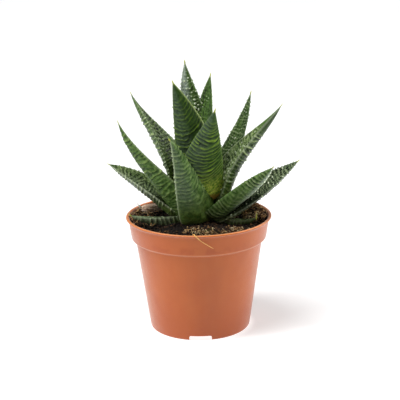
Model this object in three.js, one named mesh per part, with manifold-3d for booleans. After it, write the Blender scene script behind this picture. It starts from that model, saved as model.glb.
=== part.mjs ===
// A potted haworthia: a rosette of thick, ridged, pointed leaves on a short stem,
// growing in soil in a small plastic nursery pot.
//
// Units are millimetres and Z is up. The origin is the middle of the pot's underside,
// on the surface that the pot stands on. The front of the plant faces -Y.

import * as THREE from 'three';
import { mergeVertices } from 'three/addons/utils/BufferGeometryUtils.js';
import Module from 'manifold-3d';

const wasm = await Module();
wasm.setup();

// ---------------------------------------------------------------- driving dimensions

const POT_HEIGHT = 67;
const RIM_RADIUS = 42.5;
const COLLAR_TOP_RADIUS = 40.9;
const COLLAR_FOOT_RADIUS = 39.4;
const COLLAR_FOOT_HEIGHT = 54.7;
const BODY_TOP_RADIUS = 36.9;
const BODY_TOP_HEIGHT = 52.8;
const FOOT_RADIUS = 29.3;
const WALL = 1.25;
const FLOOR_HEIGHT = 3;
const PAD_RADIUS = 12;
const PAD_SLOPE = 1.5;
const POT_SIDES = 40;
const NOTCH_WIDTH = 13;
const NOTCH_HEIGHT = 2.8;
const NOTCH_ANGLES = [270, 30, 150];
const DRAIN_RADIUS = 3.2;
const DRAIN_CIRCLE = 20.5;
const DRAINS = 6;

const GAP = 0.3;
const SOIL_CROWN = 65.2;
const SOIL_EDGE = 61.4;
const SOIL_RINGS = 8;
const CRUMB = 0.8;
const HOLE_RADIUS = 7.4;
const HOLE_FLOOR = 36;

const PLANT_Y = 1;
const STEM_TOP = 93;
const ROOTS = 6;
const ROOT_ROUTE = [
  [1.5, 58],
  [3.6, 51],
  [5, 45],
  [5.6, 39],
];

const RIDGE_STEP = 5.5;
const RIDGE = 0.55;
const TUBERCLE = 0.5;
const TOOTH = 0.35;
const ROW_SAG = 0.035;
const BASE_REACH = 0.07;
const BASE_WIDTH = 0.72;
const WIDEST_AT = 0.14;
const KEEL = 0.25;
const CHANNEL = 0.1;

// Each leaf: the compass angle, distance from the stem's axis and height of the middle of
// its base, its tip, its width and thickness, how far its middle bows out at a third and
// at two thirds of its length, how far it sways sideways there (both in hundredths of the
// length), its roll and further twist in degrees, and how full its outline is.
// They are listed from the innermost to the outermost.
const LEAVES = [
  ['bud', [300, 1, 90], [-1, -1, 121], [10, 4], [2, 2], [0, 0], [0, 0], 1.8],
  ['inner_back', [80, 3, 88], [-6.6, 8, 155.7], [22, 5.5], [5, 2], [-5, 2.3], [3, 0], 1.8],
  ['inner_right', [24, 3, 86], [8, 5.4, 148.6], [20.5, 5.5], [-6, -2.5], [3, 2], [13, 14], 2.1],
  ['inner_front', [254, 4, 82.5], [-13.4, -9.5, 147.3], [26, 6], [-3.5, 0], [10.7, 5], [7, 4], 2],
  ['front_right', [270, 6, 77.5], [10, -24.6, 134], [27.5, 6.5], [-4, 10.5], [-3, -4], [-2, 9], 2.05],
  ['right_tall', [4, 7.5, 75], [47.9, -5.3, 132.6], [28, 10], [-15.5, -3], [4, -2], [17, -29], 1.7],
  ['left_tall', [152, 5.5, 78], [-38.1, 9.2, 138.2], [28, 8], [-9, -2], [-6.5, 1.5], [-15, 50], 2.05],
  ['right_back', [45, 6, 76], [31.9, 26, 134.2], [20, 5.5], [4, 6.5], [-1, -2], [0, -4], 1.7],
  ['back_tall', [108, 5, 78], [-11, 34, 117], [22, 6], [5, 6], [0, 0], [0, 0], 1.8],
  ['back_left', [130, 7, 72], [-19, 29, 104], [19, 6], [6, 6], [0, 0], [0, 0], 1.8],
  ['back_right', [70, 7, 72], [16, 39, 97], [22, 6], [6, 6], [0, 0], [0, 0], 1.8],
  ['front', [279, 8, 67.5], [-15.4, -32.9, 119.6], [26, 7], [7.5, -5], [-3.5, 4], [19, 7], 1.1],
  ['left_mid', [215, 8.5, 69.5], [-43.5, -27.8, 129.1], [26, 7.3], [-6, 7.5], [0.5, 1.5], [12, -18], 1.7],
  ['right_outer', [42, 8, 69], [26, 30, 99], [17, 6], [5, 5], [0, 0], [0, 0], 1.8],
  ['right_front', [325, 9, 68.5], [41.7, -30, 102.5], [22, 5.7], [0.5, 0], [0.5, 3.3], [-5, -26], 2.2],
  ['right_low', [354, 8, 67.5], [57, -14.3, 102.1], [25, 7], [2.5, 2.5], [0, 1], [18, 11], 2],
  ['left_low', [177, 8, 70], [-51.9, 4, 97.2], [25, 8.5], [-6, -5], [-2.5, -1.5], [-7, -5], 2.3],
  ['back_low', [98, 8, 68], [-6, 45.5, 87], [22, 6], [8, 6], [0, 0], [0, 0], 1.8],
  ['right_under', [20, 9, 67.5], [38, 15, 82], [16, 5.5], [6, 6], [0, 0], [0, 0], 1.8],
  ['left_under', [150, 9, 66.5], [-36, 17, 84], [18, 5.5], [6, 6], [0, 0], [0, 0], 1.8],
  ['small_left', [194, 8, 67], [-39.3, -8, 69.6], [13.5, 6], [3, 7], [0, 0], [10, -17], 2.2],
  ['small_right', [337, 9, 67], [33.1, -12.8, 68.4], [12, 5.5], [5, 10], [0, 0], [-6, 6], 2.1],
].map(describeLeaf);

// The chip of bark on the soil: its middle, half its size each way, and its turn.
const CHIP_PLACE = [-28, 15.5, 66.6];
const CHIP_HALF = [7.2, 4, 3];
const CHIP_TURN = 24;

// The dry straw that hangs over the front of the rim, from the soil to its loose end.
const STRAW_RADIUS = 0.4;
const STRAW_ROUTE = [
  [-4, -35, 64.4],
  [-3.2, -38.6, 66.6],
  [-2.7, -41.2, 68],
  [-2, -43.1, 67.4],
  [0.6, -43, 64.6],
  [4.2, -42, 61.8],
  [7.9, -41.7, 59.4],
];

function describeLeaf([place, base, tip, size, bow, sway, turn, fullness]) {
  const [angle, out, height] = base;
  const [width, depth] = size;
  const [roll, twist] = turn;
  const name = `leaf_${place}`;
  return { name, angle, out, height, tip, width, depth, bow, sway, roll, twist, fullness };
}

// ---------------------------------------------------------------- shared helpers

// Repeatable random numbers from 0 to 1.
function randomFrom(seed) {
  let state = seed;
  return () => {
    state = (state * 1664525 + 1013904223) % 4294967296;
    return state / 4294967296;
  };
}

function polar(radius, degrees, z) {
  const angle = THREE.MathUtils.degToRad(degrees);
  return new THREE.Vector3(radius * Math.cos(angle), radius * Math.sin(angle), z);
}

// A closed geometry through rings of points that all have the same count. The first and
// last rings are closed by fans round their own middles, or run to a given end point.
function loft(rings, startPoint, endPoint) {
  const count = rings[0].length;
  const points = rings.flat();
  const faces = [];
  for (let ring = 0; ring < rings.length - 1; ring += 1) {
    for (let k = 0; k < count; k += 1) {
      const a = ring * count + k;
      const b = ring * count + ((k + 1) % count);
      faces.push(a, b, b + count, a, b + count, a + count);
    }
  }
  const start = points.push(startPoint ?? middleOf(rings[0])) - 1;
  const end = points.push(endPoint ?? middleOf(rings.at(-1))) - 1;
  const last = (rings.length - 1) * count;
  for (let k = 0; k < count; k += 1) {
    const next = (k + 1) % count;
    faces.push(start, next, k);
    faces.push(end, last + k, last + next);
  }
  const geometry = new THREE.BufferGeometry().setFromPoints(points);
  geometry.setIndex(faces);
  return geometry;
}

function middleOf(points) {
  const sum = new THREE.Vector3();
  points.forEach((point) => sum.add(point));
  return sum.divideScalar(points.length);
}

// A rod through a list of points, thinning from one radius to another.
function rod(route, startRadius, endRadius, sides) {
  const curve = new THREE.CatmullRomCurve3(route);
  const steps = 2 * (route.length - 1);
  const frames = curve.computeFrenetFrames(steps, false);
  const rings = [];
  for (let i = 0; i <= steps; i += 1) {
    const centre = curve.getPointAt(i / steps);
    const radius = THREE.MathUtils.lerp(startRadius, endRadius, i / steps);
    const ring = [];
    for (let k = 0; k < sides; k += 1) {
      const angle = (2 * Math.PI * k) / sides;
      const point = centre.clone();
      point.addScaledVector(frames.normals[i], radius * Math.cos(angle));
      point.addScaledVector(frames.binormals[i], radius * Math.sin(angle));
      ring.push(point);
    }
    rings.push(ring);
  }
  return loft(rings);
}

// A geometry with merged vertices and no empty triangles, as a solid to join and cut.
function solidFrom(geometry) {
  const bare = geometry.clone();
  bare.deleteAttribute('normal');
  bare.deleteAttribute('uv');
  const merged = mergeVertices(bare, 1e-4);
  const index = merged.getIndex().array;
  const faces = [];
  for (let i = 0; i < index.length; i += 3) {
    const [a, b, c] = [index[i], index[i + 1], index[i + 2]];
    if (a !== b && b !== c && c !== a) faces.push(a, b, c);
  }
  return new wasm.Manifold(new wasm.Mesh({
    numProp: 3,
    vertProperties: new Float32Array(merged.getAttribute('position').array),
    triVerts: new Uint32Array(faces),
  }));
}

// The largest separate body of a solid; cutting can leave loose scraps beside it.
function mainBody(solid) {
  const bodies = solid.decompose();
  return bodies.reduce((best, body) => (body.volume() > best.volume() ? body : best));
}

function geometryFrom(solid) {
  const mesh = solid.getMesh();
  const geometry = new THREE.BufferGeometry();
  geometry.setAttribute('position', new THREE.BufferAttribute(mesh.vertProperties, 3));
  geometry.setIndex(new THREE.BufferAttribute(mesh.triVerts, 1));
  geometry.computeVertexNormals();
  return geometry;
}

function boxesMeet(one, other) {
  const a = one.boundingBox();
  const b = other.boundingBox();
  return [0, 1, 2].every((axis) => a.min[axis] < b.max[axis] && b.min[axis] < a.max[axis]);
}

// ---------------------------------------------------------------- pot

// A solid of revolution about Z through [radius, height] points that start and end on it.
function turned(profile, sides) {
  const points = profile.map(([radius, height]) => new THREE.Vector2(radius, height));
  const lathe = new THREE.LatheGeometry(points, sides);
  lathe.rotateX(Math.PI / 2);
  return solidFrom(lathe);
}

function makePot() {
  const innerFoot = FOOT_RADIUS - WALL;
  const profile = [
    [0, 0],
    [PAD_RADIUS, 0],
    [PAD_RADIUS + PAD_SLOPE, FLOOR_HEIGHT],
    [innerFoot - 0.5, FLOOR_HEIGHT],
    [innerFoot, 0],
    [FOOT_RADIUS - 0.4, 0],
    [FOOT_RADIUS + 0.1, 0.6],
    [BODY_TOP_RADIUS, BODY_TOP_HEIGHT],
    [BODY_TOP_RADIUS + 0.6, BODY_TOP_HEIGHT + 0.8],
    [COLLAR_FOOT_RADIUS - 0.5, COLLAR_FOOT_HEIGHT - 0.6],
    [COLLAR_FOOT_RADIUS, COLLAR_FOOT_HEIGHT],
    [COLLAR_TOP_RADIUS, POT_HEIGHT - 1.6],
    [RIM_RADIUS - 0.4, POT_HEIGHT - 1.2],
    [RIM_RADIUS, POT_HEIGHT - 0.6],
    [RIM_RADIUS - 0.5, POT_HEIGHT],
    [COLLAR_TOP_RADIUS - 0.9, POT_HEIGHT],
    [COLLAR_TOP_RADIUS - WALL, POT_HEIGHT - 0.5],
    [COLLAR_FOOT_RADIUS - WALL, COLLAR_FOOT_HEIGHT + 0.6],
    [BODY_TOP_RADIUS - WALL, BODY_TOP_HEIGHT + 0.7],
    [innerFoot + 0.5, FLOOR_HEIGHT + WALL],
    [PAD_RADIUS + 0.8, FLOOR_HEIGHT + WALL],
    [PAD_RADIUS - 0.7, WALL],
    [0, WALL],
  ];
  let pot = turned(profile, POT_SIDES);
  NOTCH_ANGLES.forEach((angle) => {
    pot = pot.subtract(notchCutter(angle));
  });
  for (let k = 0; k < DRAINS; k += 1) {
    pot = pot.subtract(drainCutter((360 * k) / DRAINS));
  }
  return pot;
}

// A block with two round top corners, through the foot ring at the given angle.
function notchCutter(angle) {
  const half = NOTCH_WIDTH / 2;
  const corner = 1;
  const outline = new THREE.Shape();
  outline.moveTo(-half, -1);
  outline.lineTo(half, -1);
  outline.lineTo(half, NOTCH_HEIGHT - corner);
  outline.quadraticCurveTo(half, NOTCH_HEIGHT, half - corner, NOTCH_HEIGHT);
  outline.lineTo(corner - half, NOTCH_HEIGHT);
  outline.quadraticCurveTo(-half, NOTCH_HEIGHT, -half, NOTCH_HEIGHT - corner);
  outline.closePath();
  const block = new THREE.ExtrudeGeometry(outline, { depth: 8, curveSegments: 3, bevelEnabled: false });
  block.rotateX(Math.PI / 2);
  block.translate(0, -FOOT_RADIUS + 5, 0);
  block.rotateZ(THREE.MathUtils.degToRad(angle - 270));
  return solidFrom(block);
}

function drainCutter(angle) {
  const hole = new THREE.CylinderGeometry(DRAIN_RADIUS, DRAIN_RADIUS, 10, 14);
  hole.rotateX(Math.PI / 2);
  const place = polar(DRAIN_CIRCLE, angle, FLOOR_HEIGHT);
  hole.translate(place.x, place.y, place.z);
  return solidFrom(hole);
}

// ---------------------------------------------------------------- leaves

function leafCurve(item) {
  const up = new THREE.Vector3(0, 0, 1);
  const outward = polar(1, item.angle, 0);
  const base = polar(item.out, item.angle, item.height);
  base.y += PLANT_Y;
  const tip = new THREE.Vector3(...item.tip);
  const chord = tip.clone().sub(base);
  const length = chord.length();
  const along = chord.clone().normalize();
  const side = up.clone().cross(outward).projectOnPlane(along).normalize();
  const inner = along.clone().cross(side);
  if (inner.dot(up.clone().sub(outward)) < 0) inner.negate();
  const control = (share, index) => base.clone()
    .addScaledVector(chord, share)
    .addScaledVector(inner, -0.01 * item.bow[index] * length)
    .addScaledVector(side, 0.01 * item.sway[index] * length);
  const curve = new THREE.CubicBezierCurve3(base, control(0.33, 0), control(0.7, 1), tip);
  return { curve, side, inner, length };
}

// The centre, sideways and inward directions of a leaf at t, from 0 at base to 1 at tip.
function leafFrame(item, spine, t) {
  const step = 0.01;
  const centre = spine.curve.getPoint(t);
  const along = spine.curve.getPoint(t + step).sub(spine.curve.getPoint(t - step)).normalize();
  const side = spine.side.clone().projectOnPlane(along).normalize();
  const inner = along.clone().cross(side);
  if (inner.dot(spine.inner) < 0) inner.negate();
  const turn = THREE.MathUtils.degToRad(item.roll + item.twist * t);
  const across = side.clone().multiplyScalar(Math.cos(turn)).addScaledVector(inner, Math.sin(turn));
  const inward = inner.clone().multiplyScalar(Math.cos(turn)).addScaledVector(side, -Math.sin(turn));
  return { centre, along, across, inward };
}

function halfWidth(item, t) {
  const share = THREE.MathUtils.clamp(t / WIDEST_AT, 0, 1);
  const swell = BASE_WIDTH + (1 - BASE_WIDTH) * Math.sin((share * Math.PI) / 2);
  const taper = 1 - Math.max(t, 0) ** item.fullness;
  return (item.width / 2) * swell * Math.max(taper, 0);
}

// How far the outer face stands off the leaf's chord at s, from -1 to 1 across it.
function belly(s) {
  const round = (1 - Math.abs(s) ** 2.2) ** 0.7;
  return (1 - KEEL) * round + KEEL * (1 - Math.abs(s)) ** 1.2;
}

// One row of points round a leaf. Rows sag towards the base in the middle of each face, as
// the ridges do. lift says how far the surface is raised there, on either face and sideways.
function leafRow(item, spine, t, lift) {
  const outerSteps = [-1, -0.866, -0.5, 0, 0.5, 0.866, 1];
  const innerSteps = [0.6, 0, -0.6];
  const place = (s, height) => {
    const at = t + ROW_SAG * s * s * (1 - t);
    const frame = leafFrame(item, spine, at);
    const half = halfWidth(item, at) + lift.sideways;
    return frame.centre.addScaledVector(frame.across, s * half).addScaledVector(frame.inward, height(at));
  };
  const depthAt = (at) => item.depth * (halfWidth(item, at) / (item.width / 2)) ** 0.9;
  const outer = outerSteps.map((s) => place(s, (at) => -belly(s) * (depthAt(at) + lift.outer)));
  const inner = innerSteps.map((s, k) => {
    const dip = CHANNEL * (1 - s * s);
    return place(s, (at) => lift.inner(k) - dip * halfWidth(item, at));
  });
  return [...outer, ...inner];
}

// The rows along a leaf alternate between hollows and ridge crests, so they are even in number.
function leafRows(spine) {
  return 2 * Math.max(4, Math.round((spine.length * (1 + BASE_REACH)) / RIDGE_STEP));
}

function rowPlace(row, rows) {
  return -BASE_REACH + ((1 + BASE_REACH) * row) / rows;
}

// The leaf itself: raised ridges across its outer face, rows of tubercles on its inner
// face, and a toothed margin, all fading out at the base and the tip.
function leafBody(item) {
  const spine = leafCurve(item);
  const rows = leafRows(spine);
  const rings = [];
  for (let row = 0; row < rows; row += 1) {
    const t = rowPlace(row, rows);
    const crest = row % 2 === 1;
    const fade = THREE.MathUtils.smoothstep(t, 0, 0.1) * (1 - THREE.MathUtils.smoothstep(t, 0.8, 0.97));
    const high = crest ? fade : 0;
    const odd = Math.floor(row / 2) % 2;
    rings.push(leafRow(item, spine, t, {
      outer: RIDGE * high,
      sideways: TOOTH * high,
      inner: (k) => ((k + odd) % 2 === 0 ? TUBERCLE * high : 0),
    }));
  }
  return solidFrom(loft(rings, undefined, spine.curve.getPoint(1)));
}

// A plain, slightly larger form of the leaf, which cuts room for it in its neighbours.
function leafRoom(item) {
  const spine = leafCurve(item);
  const rows = leafRows(spine);
  const room = RIDGE + 2 * GAP;
  const rings = [];
  for (let row = -1; row < rows; row += 2) {
    const lift = { outer: room, sideways: room, inner: () => room };
    rings.push(leafRow(item, spine, rowPlace(row, rows), lift));
  }
  const end = spine.curve.getPoint(1).addScaledVector(leafFrame(item, spine, 1).along, 1);
  return solidFrom(loft(rings, undefined, end));
}

// ---------------------------------------------------------------- stem, soil, loose bits

// The short stem with the leaf scars' step-like taper, and stubby roots below it.
function makeStem(extra) {
  const profile = [
    [0, 50],
    [3.5, 51],
    [5, 58],
    [6.4, 65],
    [6.2, 74],
    [5, 84],
    [3, STEM_TOP - 3],
    [0, STEM_TOP],
  ];
  const swollen = profile.map(([radius, height]) => [radius > 0 ? radius + extra : 0, height]);
  swollen.at(-1)[1] += extra;
  let stem = turned(swollen, 20).translate([0, PLANT_Y, 0]);
  for (let k = 0; k < ROOTS; k += 1) {
    const angle = (360 * k) / ROOTS + 20;
    const route = ROOT_ROUTE.map(([radius, height]) => polar(radius, angle, height));
    route.forEach((point) => {
      point.y += PLANT_Y;
    });
    stem = stem.add(solidFrom(rod(route, 1.6, 0.6, 6)));
  }
  return stem;
}

function makeSoil() {
  const random = randomFrom(7);
  const below = [
    [PAD_RADIUS - 1, WALL + GAP],
    [PAD_RADIUS + 0.6, FLOOR_HEIGHT + WALL + GAP],
    [FOOT_RADIUS - WALL + 0.1, FLOOR_HEIGHT + WALL + GAP],
    [BODY_TOP_RADIUS - WALL - 0.4, BODY_TOP_HEIGHT + 1],
    [COLLAR_FOOT_RADIUS - WALL - 0.45, COLLAR_FOOT_HEIGHT + 0.9],
  ];
  const ring = (radius, heightAt) => {
    const points = [];
    for (let k = 0; k < POT_SIDES; k += 1) {
      const angle = (360 * k) / POT_SIDES;
      points.push(polar(radius, angle, heightAt(angle)));
    }
    return points;
  };
  const rings = below.map(([radius, height]) => ring(radius, () => height));
  const edge = COLLAR_FOOT_RADIUS - WALL + 0.45;
  for (let k = 0; k < SOIL_RINGS; k += 1) {
    const radius = edge * (1 - k / SOIL_RINGS);
    rings.push(ring(radius, (angle) => soilHeight(radius, angle) + CRUMB * (2 * random() - 1)));
  }
  const top = new THREE.Vector3(0, 0, SOIL_CROWN);
  return solidFrom(loft(rings, new THREE.Vector3(0, 0, WALL + GAP), top));
}

// The soil is mounded at the plant and lower at the wall, most of all at the left.
function soilHeight(radius, angle) {
  const share = (radius / COLLAR_FOOT_RADIUS) ** 2;
  const lean = Math.cos(THREE.MathUtils.degToRad(angle - 165));
  return THREE.MathUtils.lerp(SOIL_CROWN, SOIL_EDGE - 0.6 * lean, share);
}

function makeChip(extra) {
  const random = randomFrom(31);
  const stone = mergeVertices(stripped(new THREE.IcosahedronGeometry(1, 2)), 1e-4);
  const position = stone.getAttribute('position');
  for (let k = 0; k < position.count; k += 1) {
    const bump = 1 + 0.14 * (2 * random() - 1);
    position.setXYZ(k, position.getX(k) * bump, position.getY(k) * bump, position.getZ(k) * bump);
  }
  stone.scale(...CHIP_HALF.map((half) => half + extra));
  stone.rotateZ(THREE.MathUtils.degToRad(CHIP_TURN));
  stone.translate(...CHIP_PLACE);
  return solidFrom(stone);
}

function stripped(geometry) {
  geometry.deleteAttribute('normal');
  geometry.deleteAttribute('uv');
  return geometry;
}

function makeStraw(extra) {
  const route = STRAW_ROUTE.map((point) => new THREE.Vector3(...point));
  return solidFrom(rod(route, STRAW_RADIUS + extra, 0.75 * STRAW_RADIUS + extra, 6));
}

// ---------------------------------------------------------------- assembly

const MATERIALS = {
  pot: { color: '#b5663f', roughness: 0.45, metalness: 0 },
  soil: { color: '#2c2018', roughness: 1, metalness: 0 },
  leaf: { color: '#3f6a38', roughness: 0.5, metalness: 0 },
  stem: { color: '#8f8a5a', roughness: 0.8, metalness: 0 },
  bark: { color: '#8f7561', roughness: 0.9, metalness: 0 },
  straw: { color: '#d9b876', roughness: 0.8, metalness: 0 },
};

const group = new THREE.Group();

function place(name, solid, kind) {
  const mesh = new THREE.Mesh(geometryFrom(solid), new THREE.MeshStandardMaterial(MATERIALS[kind]));
  mesh.name = name;
  group.add(mesh);
}

place('pot', makePot(), 'pot');
place('stem', makeStem(0), 'stem');

// Every leaf is cut back where the stem and the leaves inside it already are.
const rooms = [makeStem(GAP)];
LEAVES.forEach((item) => {
  let body = leafBody(item);
  rooms.forEach((room) => {
    if (boxesMeet(body, room)) body = body.subtract(room);
  });
  place(item.name, mainBody(body), 'leaf');
  rooms.push(leafRoom(item));
});

place('bark_chip', makeChip(0), 'bark');
place('straw', makeStraw(0), 'straw');

// The soil gives way to the stem, the lowest leaves and what lies on it.
const hole = new THREE.CylinderGeometry(HOLE_RADIUS, HOLE_RADIUS, 60, 20);
hole.rotateX(Math.PI / 2);
hole.translate(0, PLANT_Y, HOLE_FLOOR + 30);
let soil = makeSoil().subtract(solidFrom(hole));
[...rooms.slice(1), makeChip(GAP), makeStraw(GAP)].forEach((room) => {
  if (boxesMeet(soil, room)) soil = soil.subtract(room);
});
place('soil', mainBody(soil), 'soil');

export default group;
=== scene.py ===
# %% [markdown]
# # A potted haworthia
# A rosette of thick, ridged, pointed leaves grows in peaty soil in a small moulded nursery pot.
# The packed CAD model comes first and is never changed. It fixes the size and place of
# everything, in metres, with the middle of the pot's underside at the origin and the front of
# the plant facing -Y. Each piece below is made in place round it and then stands for its node.

# %% Load the frame
import math
from types import SimpleNamespace

import bmesh
import bpy
import numpy as np
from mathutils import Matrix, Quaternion, Vector, noise


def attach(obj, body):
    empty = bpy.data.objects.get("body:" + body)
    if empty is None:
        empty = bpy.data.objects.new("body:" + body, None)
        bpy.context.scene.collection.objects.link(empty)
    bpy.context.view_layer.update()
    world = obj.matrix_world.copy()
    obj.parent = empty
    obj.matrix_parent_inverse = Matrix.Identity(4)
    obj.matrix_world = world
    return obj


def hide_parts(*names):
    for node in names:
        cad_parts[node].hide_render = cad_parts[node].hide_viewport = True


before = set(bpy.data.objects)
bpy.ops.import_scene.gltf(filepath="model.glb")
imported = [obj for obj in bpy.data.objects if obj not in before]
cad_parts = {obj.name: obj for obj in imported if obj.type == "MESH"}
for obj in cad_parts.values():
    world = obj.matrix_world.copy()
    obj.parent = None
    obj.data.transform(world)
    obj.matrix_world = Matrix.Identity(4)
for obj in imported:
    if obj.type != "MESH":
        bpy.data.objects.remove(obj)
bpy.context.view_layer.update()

# %% [markdown]
# ## Camera, floor and light
# The camera repeats the view of the photograph: it looks down by nearly 16 degrees from 0.7 m
# with a long lens, and leans by under a degree. A product shot like this one is lit by large
# soft boxes. Three area lights stand for the boxes at the sides and behind, which give the satin
# pot its soft upright reflections and light the leaves' edges. A broad sun stands for the one
# overhead, because it lights the whole pale floor alike. A dim pale world fills the shadows.

# %% Camera
VIEW_DROP = math.radians(15.75)
VIEW_DISTANCE = 0.7
VIEW_LEAN = math.radians(0.9)
VIEW_TARGET = Vector((0.0009, 0, 0.0758))
VIEW_LENS = 108.3

scene = bpy.context.scene


def placed(name, data):
    """A new object in the scene."""
    thing = bpy.data.objects.new(name, data)
    scene.collection.objects.link(thing)
    return thing


def aim(thing, direction, lean=0):
    """Turns a camera or lamp to look along a direction, leaning by an angle."""
    thing.rotation_mode = "QUATERNION"
    thing.rotation_quaternion = Vector(direction).to_track_quat("-Z", "Y") @ Quaternion((0, 0, 1), -lean)


look = Vector((0, math.cos(VIEW_DROP), -math.sin(VIEW_DROP)))
camera = placed("camera", bpy.data.cameras.new("camera"))
camera.data.lens = VIEW_LENS
camera.data.clip_start = 0.01
camera.location = VIEW_TARGET - look * VIEW_DISTANCE
aim(camera, look, VIEW_LEAN)
scene.camera = camera
scene.view_settings.view_transform = "Standard"
print("camera at", [round(value, 3) for value in camera.location])


# %% Soft boxes and world
def soft_box(name, place, target, size, power):
    """A large area light at a place, turned towards a point."""
    lamp = bpy.data.lights.new(name, "AREA")
    lamp.shape = "RECTANGLE"
    lamp.size, lamp.size_y = size
    lamp.energy = power
    box = placed(name, lamp)
    box.location = place
    aim(box, Vector(target) - Vector(place))


soft_box("box_left", (-1.0, -0.35, 0.5), (0, 0, 0.09), (0.3, 0.8), 8.5)
soft_box("box_right", (1.0, -0.1, 0.4), (0, 0, 0.07), (0.3, 0.8), 8)
soft_box("box_behind_right", (0.75, 0.55, 0.25), (0, 0, 0.07), (0.3, 0.6), 3)
overhead = bpy.data.lights.new("overhead", "SUN")
overhead.energy = 2.8
overhead.angle = math.radians(32)
aim(placed("overhead", overhead), (0.35, 0.2, -1))
world = bpy.data.worlds.new("studio")
world.use_nodes = True
background = world.node_tree.nodes["Background"].inputs
background["Color"].default_value = (0.96, 0.98, 1, 1)
background["Strength"].default_value = 0.2
scene.world = world


# %% [markdown]
# ## Short ways to wire nodes
# Both shaders and Geometry Nodes are trees of nodes. One small class adds a node, sets its
# inputs and joins them in a single call, so the cells below read as a list of steps.

# %% Wiring helper
class Wiring:
    """Adds and joins the nodes of one tree."""

    def __init__(self, tree):
        self.tree = tree

    def add(self, kind, inputs=None, **settings):
        node = self.tree.nodes.new(kind)
        for name, value in settings.items():
            setattr(node, name, value)
        for socket, value in (inputs or {}).items():
            self.feed(node.inputs[socket], value)
        return node

    def feed(self, target, value):
        if isinstance(value, bpy.types.NodeSocket):
            self.tree.links.new(value, target)
        else:
            target.default_value = value

    def geo(self, kind, inputs=None, **settings):
        """The first result of a geometry node."""
        return self.add("GeometryNode" + kind, inputs, **settings).outputs[0]

    def math(self, operation, first, second):
        return self.add("ShaderNodeMath", {0: first, 1: second}, operation=operation).outputs[0]

    def times(self, first, second):
        return self.math("MULTIPLY", first, second)

    def plus(self, first, second):
        return self.math("ADD", first, second)

    def xyz(self, x, y, z):
        """Three numbers as one vector."""
        return self.add("ShaderNodeCombineXYZ", {0: x, 1: y, 2: z}).outputs[0]

    def part_of(self, place, axis):
        """One coordinate of a place."""
        return self.add("ShaderNodeSeparateXYZ", {0: place}).outputs[axis]

    def span(self, value, low, high, to_low=0.0, to_high=1.0):
        """Maps a value from one range to another, eased at both ends."""
        given = {"Value": value, "From Min": low, "From Max": high, "To Min": to_low, "To Max": to_high}
        return self.add("ShaderNodeMapRange", given, interpolation_type="SMOOTHSTEP").outputs[0]

    def typed(self, kind, data_type, given, result):
        """A node that has like-named sockets for many types, here told apart by identifier."""
        node = self.add(kind, data_type=data_type)
        for socket in node.inputs:
            if socket.identifier in given:
                self.feed(socket, given[socket.identifier])
        return next(socket for socket in node.outputs if socket.identifier == result)

    def mix(self, share, first, second):
        """Mixes two colours."""
        given = {"Factor_Float": share, "A_Color": first, "B_Color": second}
        return self.typed("ShaderNodeMix", "RGBA", given, "Result_Color")

    def coats(self, tone, *layers):
        """A tone under coats of paint, each a mask, how strongly it covers, and its colour."""
        for mask, strength, colour in layers:
            share = mask if strength == 1 else self.times(mask, strength)
            tone = self.mix(share, tone, colour)
        return tone

    def noise(self, place, scale, detail=2.0, roughness=0.5, distortion=0.0):
        given = {"Vector": place, "Scale": scale, "Detail": detail, "Roughness": roughness, "Distortion": distortion}
        return self.add("ShaderNodeTexNoise", given).outputs[0]

    def attribute(self, name):
        """An attribute of the mesh, in a material."""
        return self.add("ShaderNodeAttribute", attribute_name=name).outputs["Fac"]

    def named(self, name, data_type="FLOAT"):
        """An attribute of the mesh, in Geometry Nodes."""
        return self.add("GeometryNodeInputNamedAttribute", {"Name": name}, data_type=data_type).outputs["Attribute"]

    def store(self, geometry, name, value, data_type="FLOAT", domain="POINT"):
        return self.geo("StoreNamedAttribute", {"Geometry": geometry, "Name": name, "Value": value},
                        data_type=data_type, domain=domain)

    def join(self, *parts):
        node = self.add("GeometryNodeJoinGeometry")
        for part in parts:
            self.feed(node.inputs[0], part)
        return node.outputs[0]

    def finish(self, taken, geometry, *stuffs):
        """The end of every tree: Realize Instances, then Set Material. A second pair of stuff and
        selection dresses only part of the mesh."""
        geometry = self.geo("RealizeInstances", {0: geometry})
        for stuff, chosen in stuffs:
            given = {"Geometry": geometry, "Selection": chosen, "Material": stuff}
            geometry = self.geo("SetMaterial", given)
        self.feed(taken["Geometry"], geometry)


print("ways to wire:", [name for name in vars(Wiring) if not name.startswith("_")])


# %% Colours and trees
def rgb(red, green, blue):
    """A colour as paint charts give it, from 0 to 255, in the linear light Blender works in."""
    linear = [((c / 255 + 0.055) / 1.055) ** 2.4 if c > 10 else c / 255 / 12.92 for c in (red, green, blue)]
    return (*linear, 1.0)


def new_tree(name, kind, inputs, outputs):
    """A node group with named sockets, and its wiring."""
    tree = bpy.data.node_groups.new(name, kind)
    for title, socket_type, value in inputs:
        socket = tree.interface.new_socket(name=title, in_out="INPUT", socket_type=socket_type)
        if value is not None:
            socket.default_value = value
    for title, socket_type in outputs:
        tree.interface.new_socket(name=title, in_out="OUTPUT", socket_type=socket_type)
    wiring = Wiring(tree)
    given = wiring.add("NodeGroupInput").outputs
    taken = wiring.add("NodeGroupOutput").inputs
    return tree, wiring, given, taken


print("a mid grey in linear light:", round(rgb(128, 128, 128)[0], 3))

# %% [markdown]
# ## Effects that several finishes share
# Three shader groups are built once and used with different values: `mottle` for slow patches
# of another tone, `grain` for fine relief at two sizes, and `peat_dust` for the brown dust
# that watering splashes on the pot's rim and on the feet of the leaves.

# %% Group: mottle
FLOAT, COLOUR, PLACE = "NodeSocketFloat", "NodeSocketColor", "NodeSocketVector"

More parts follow.
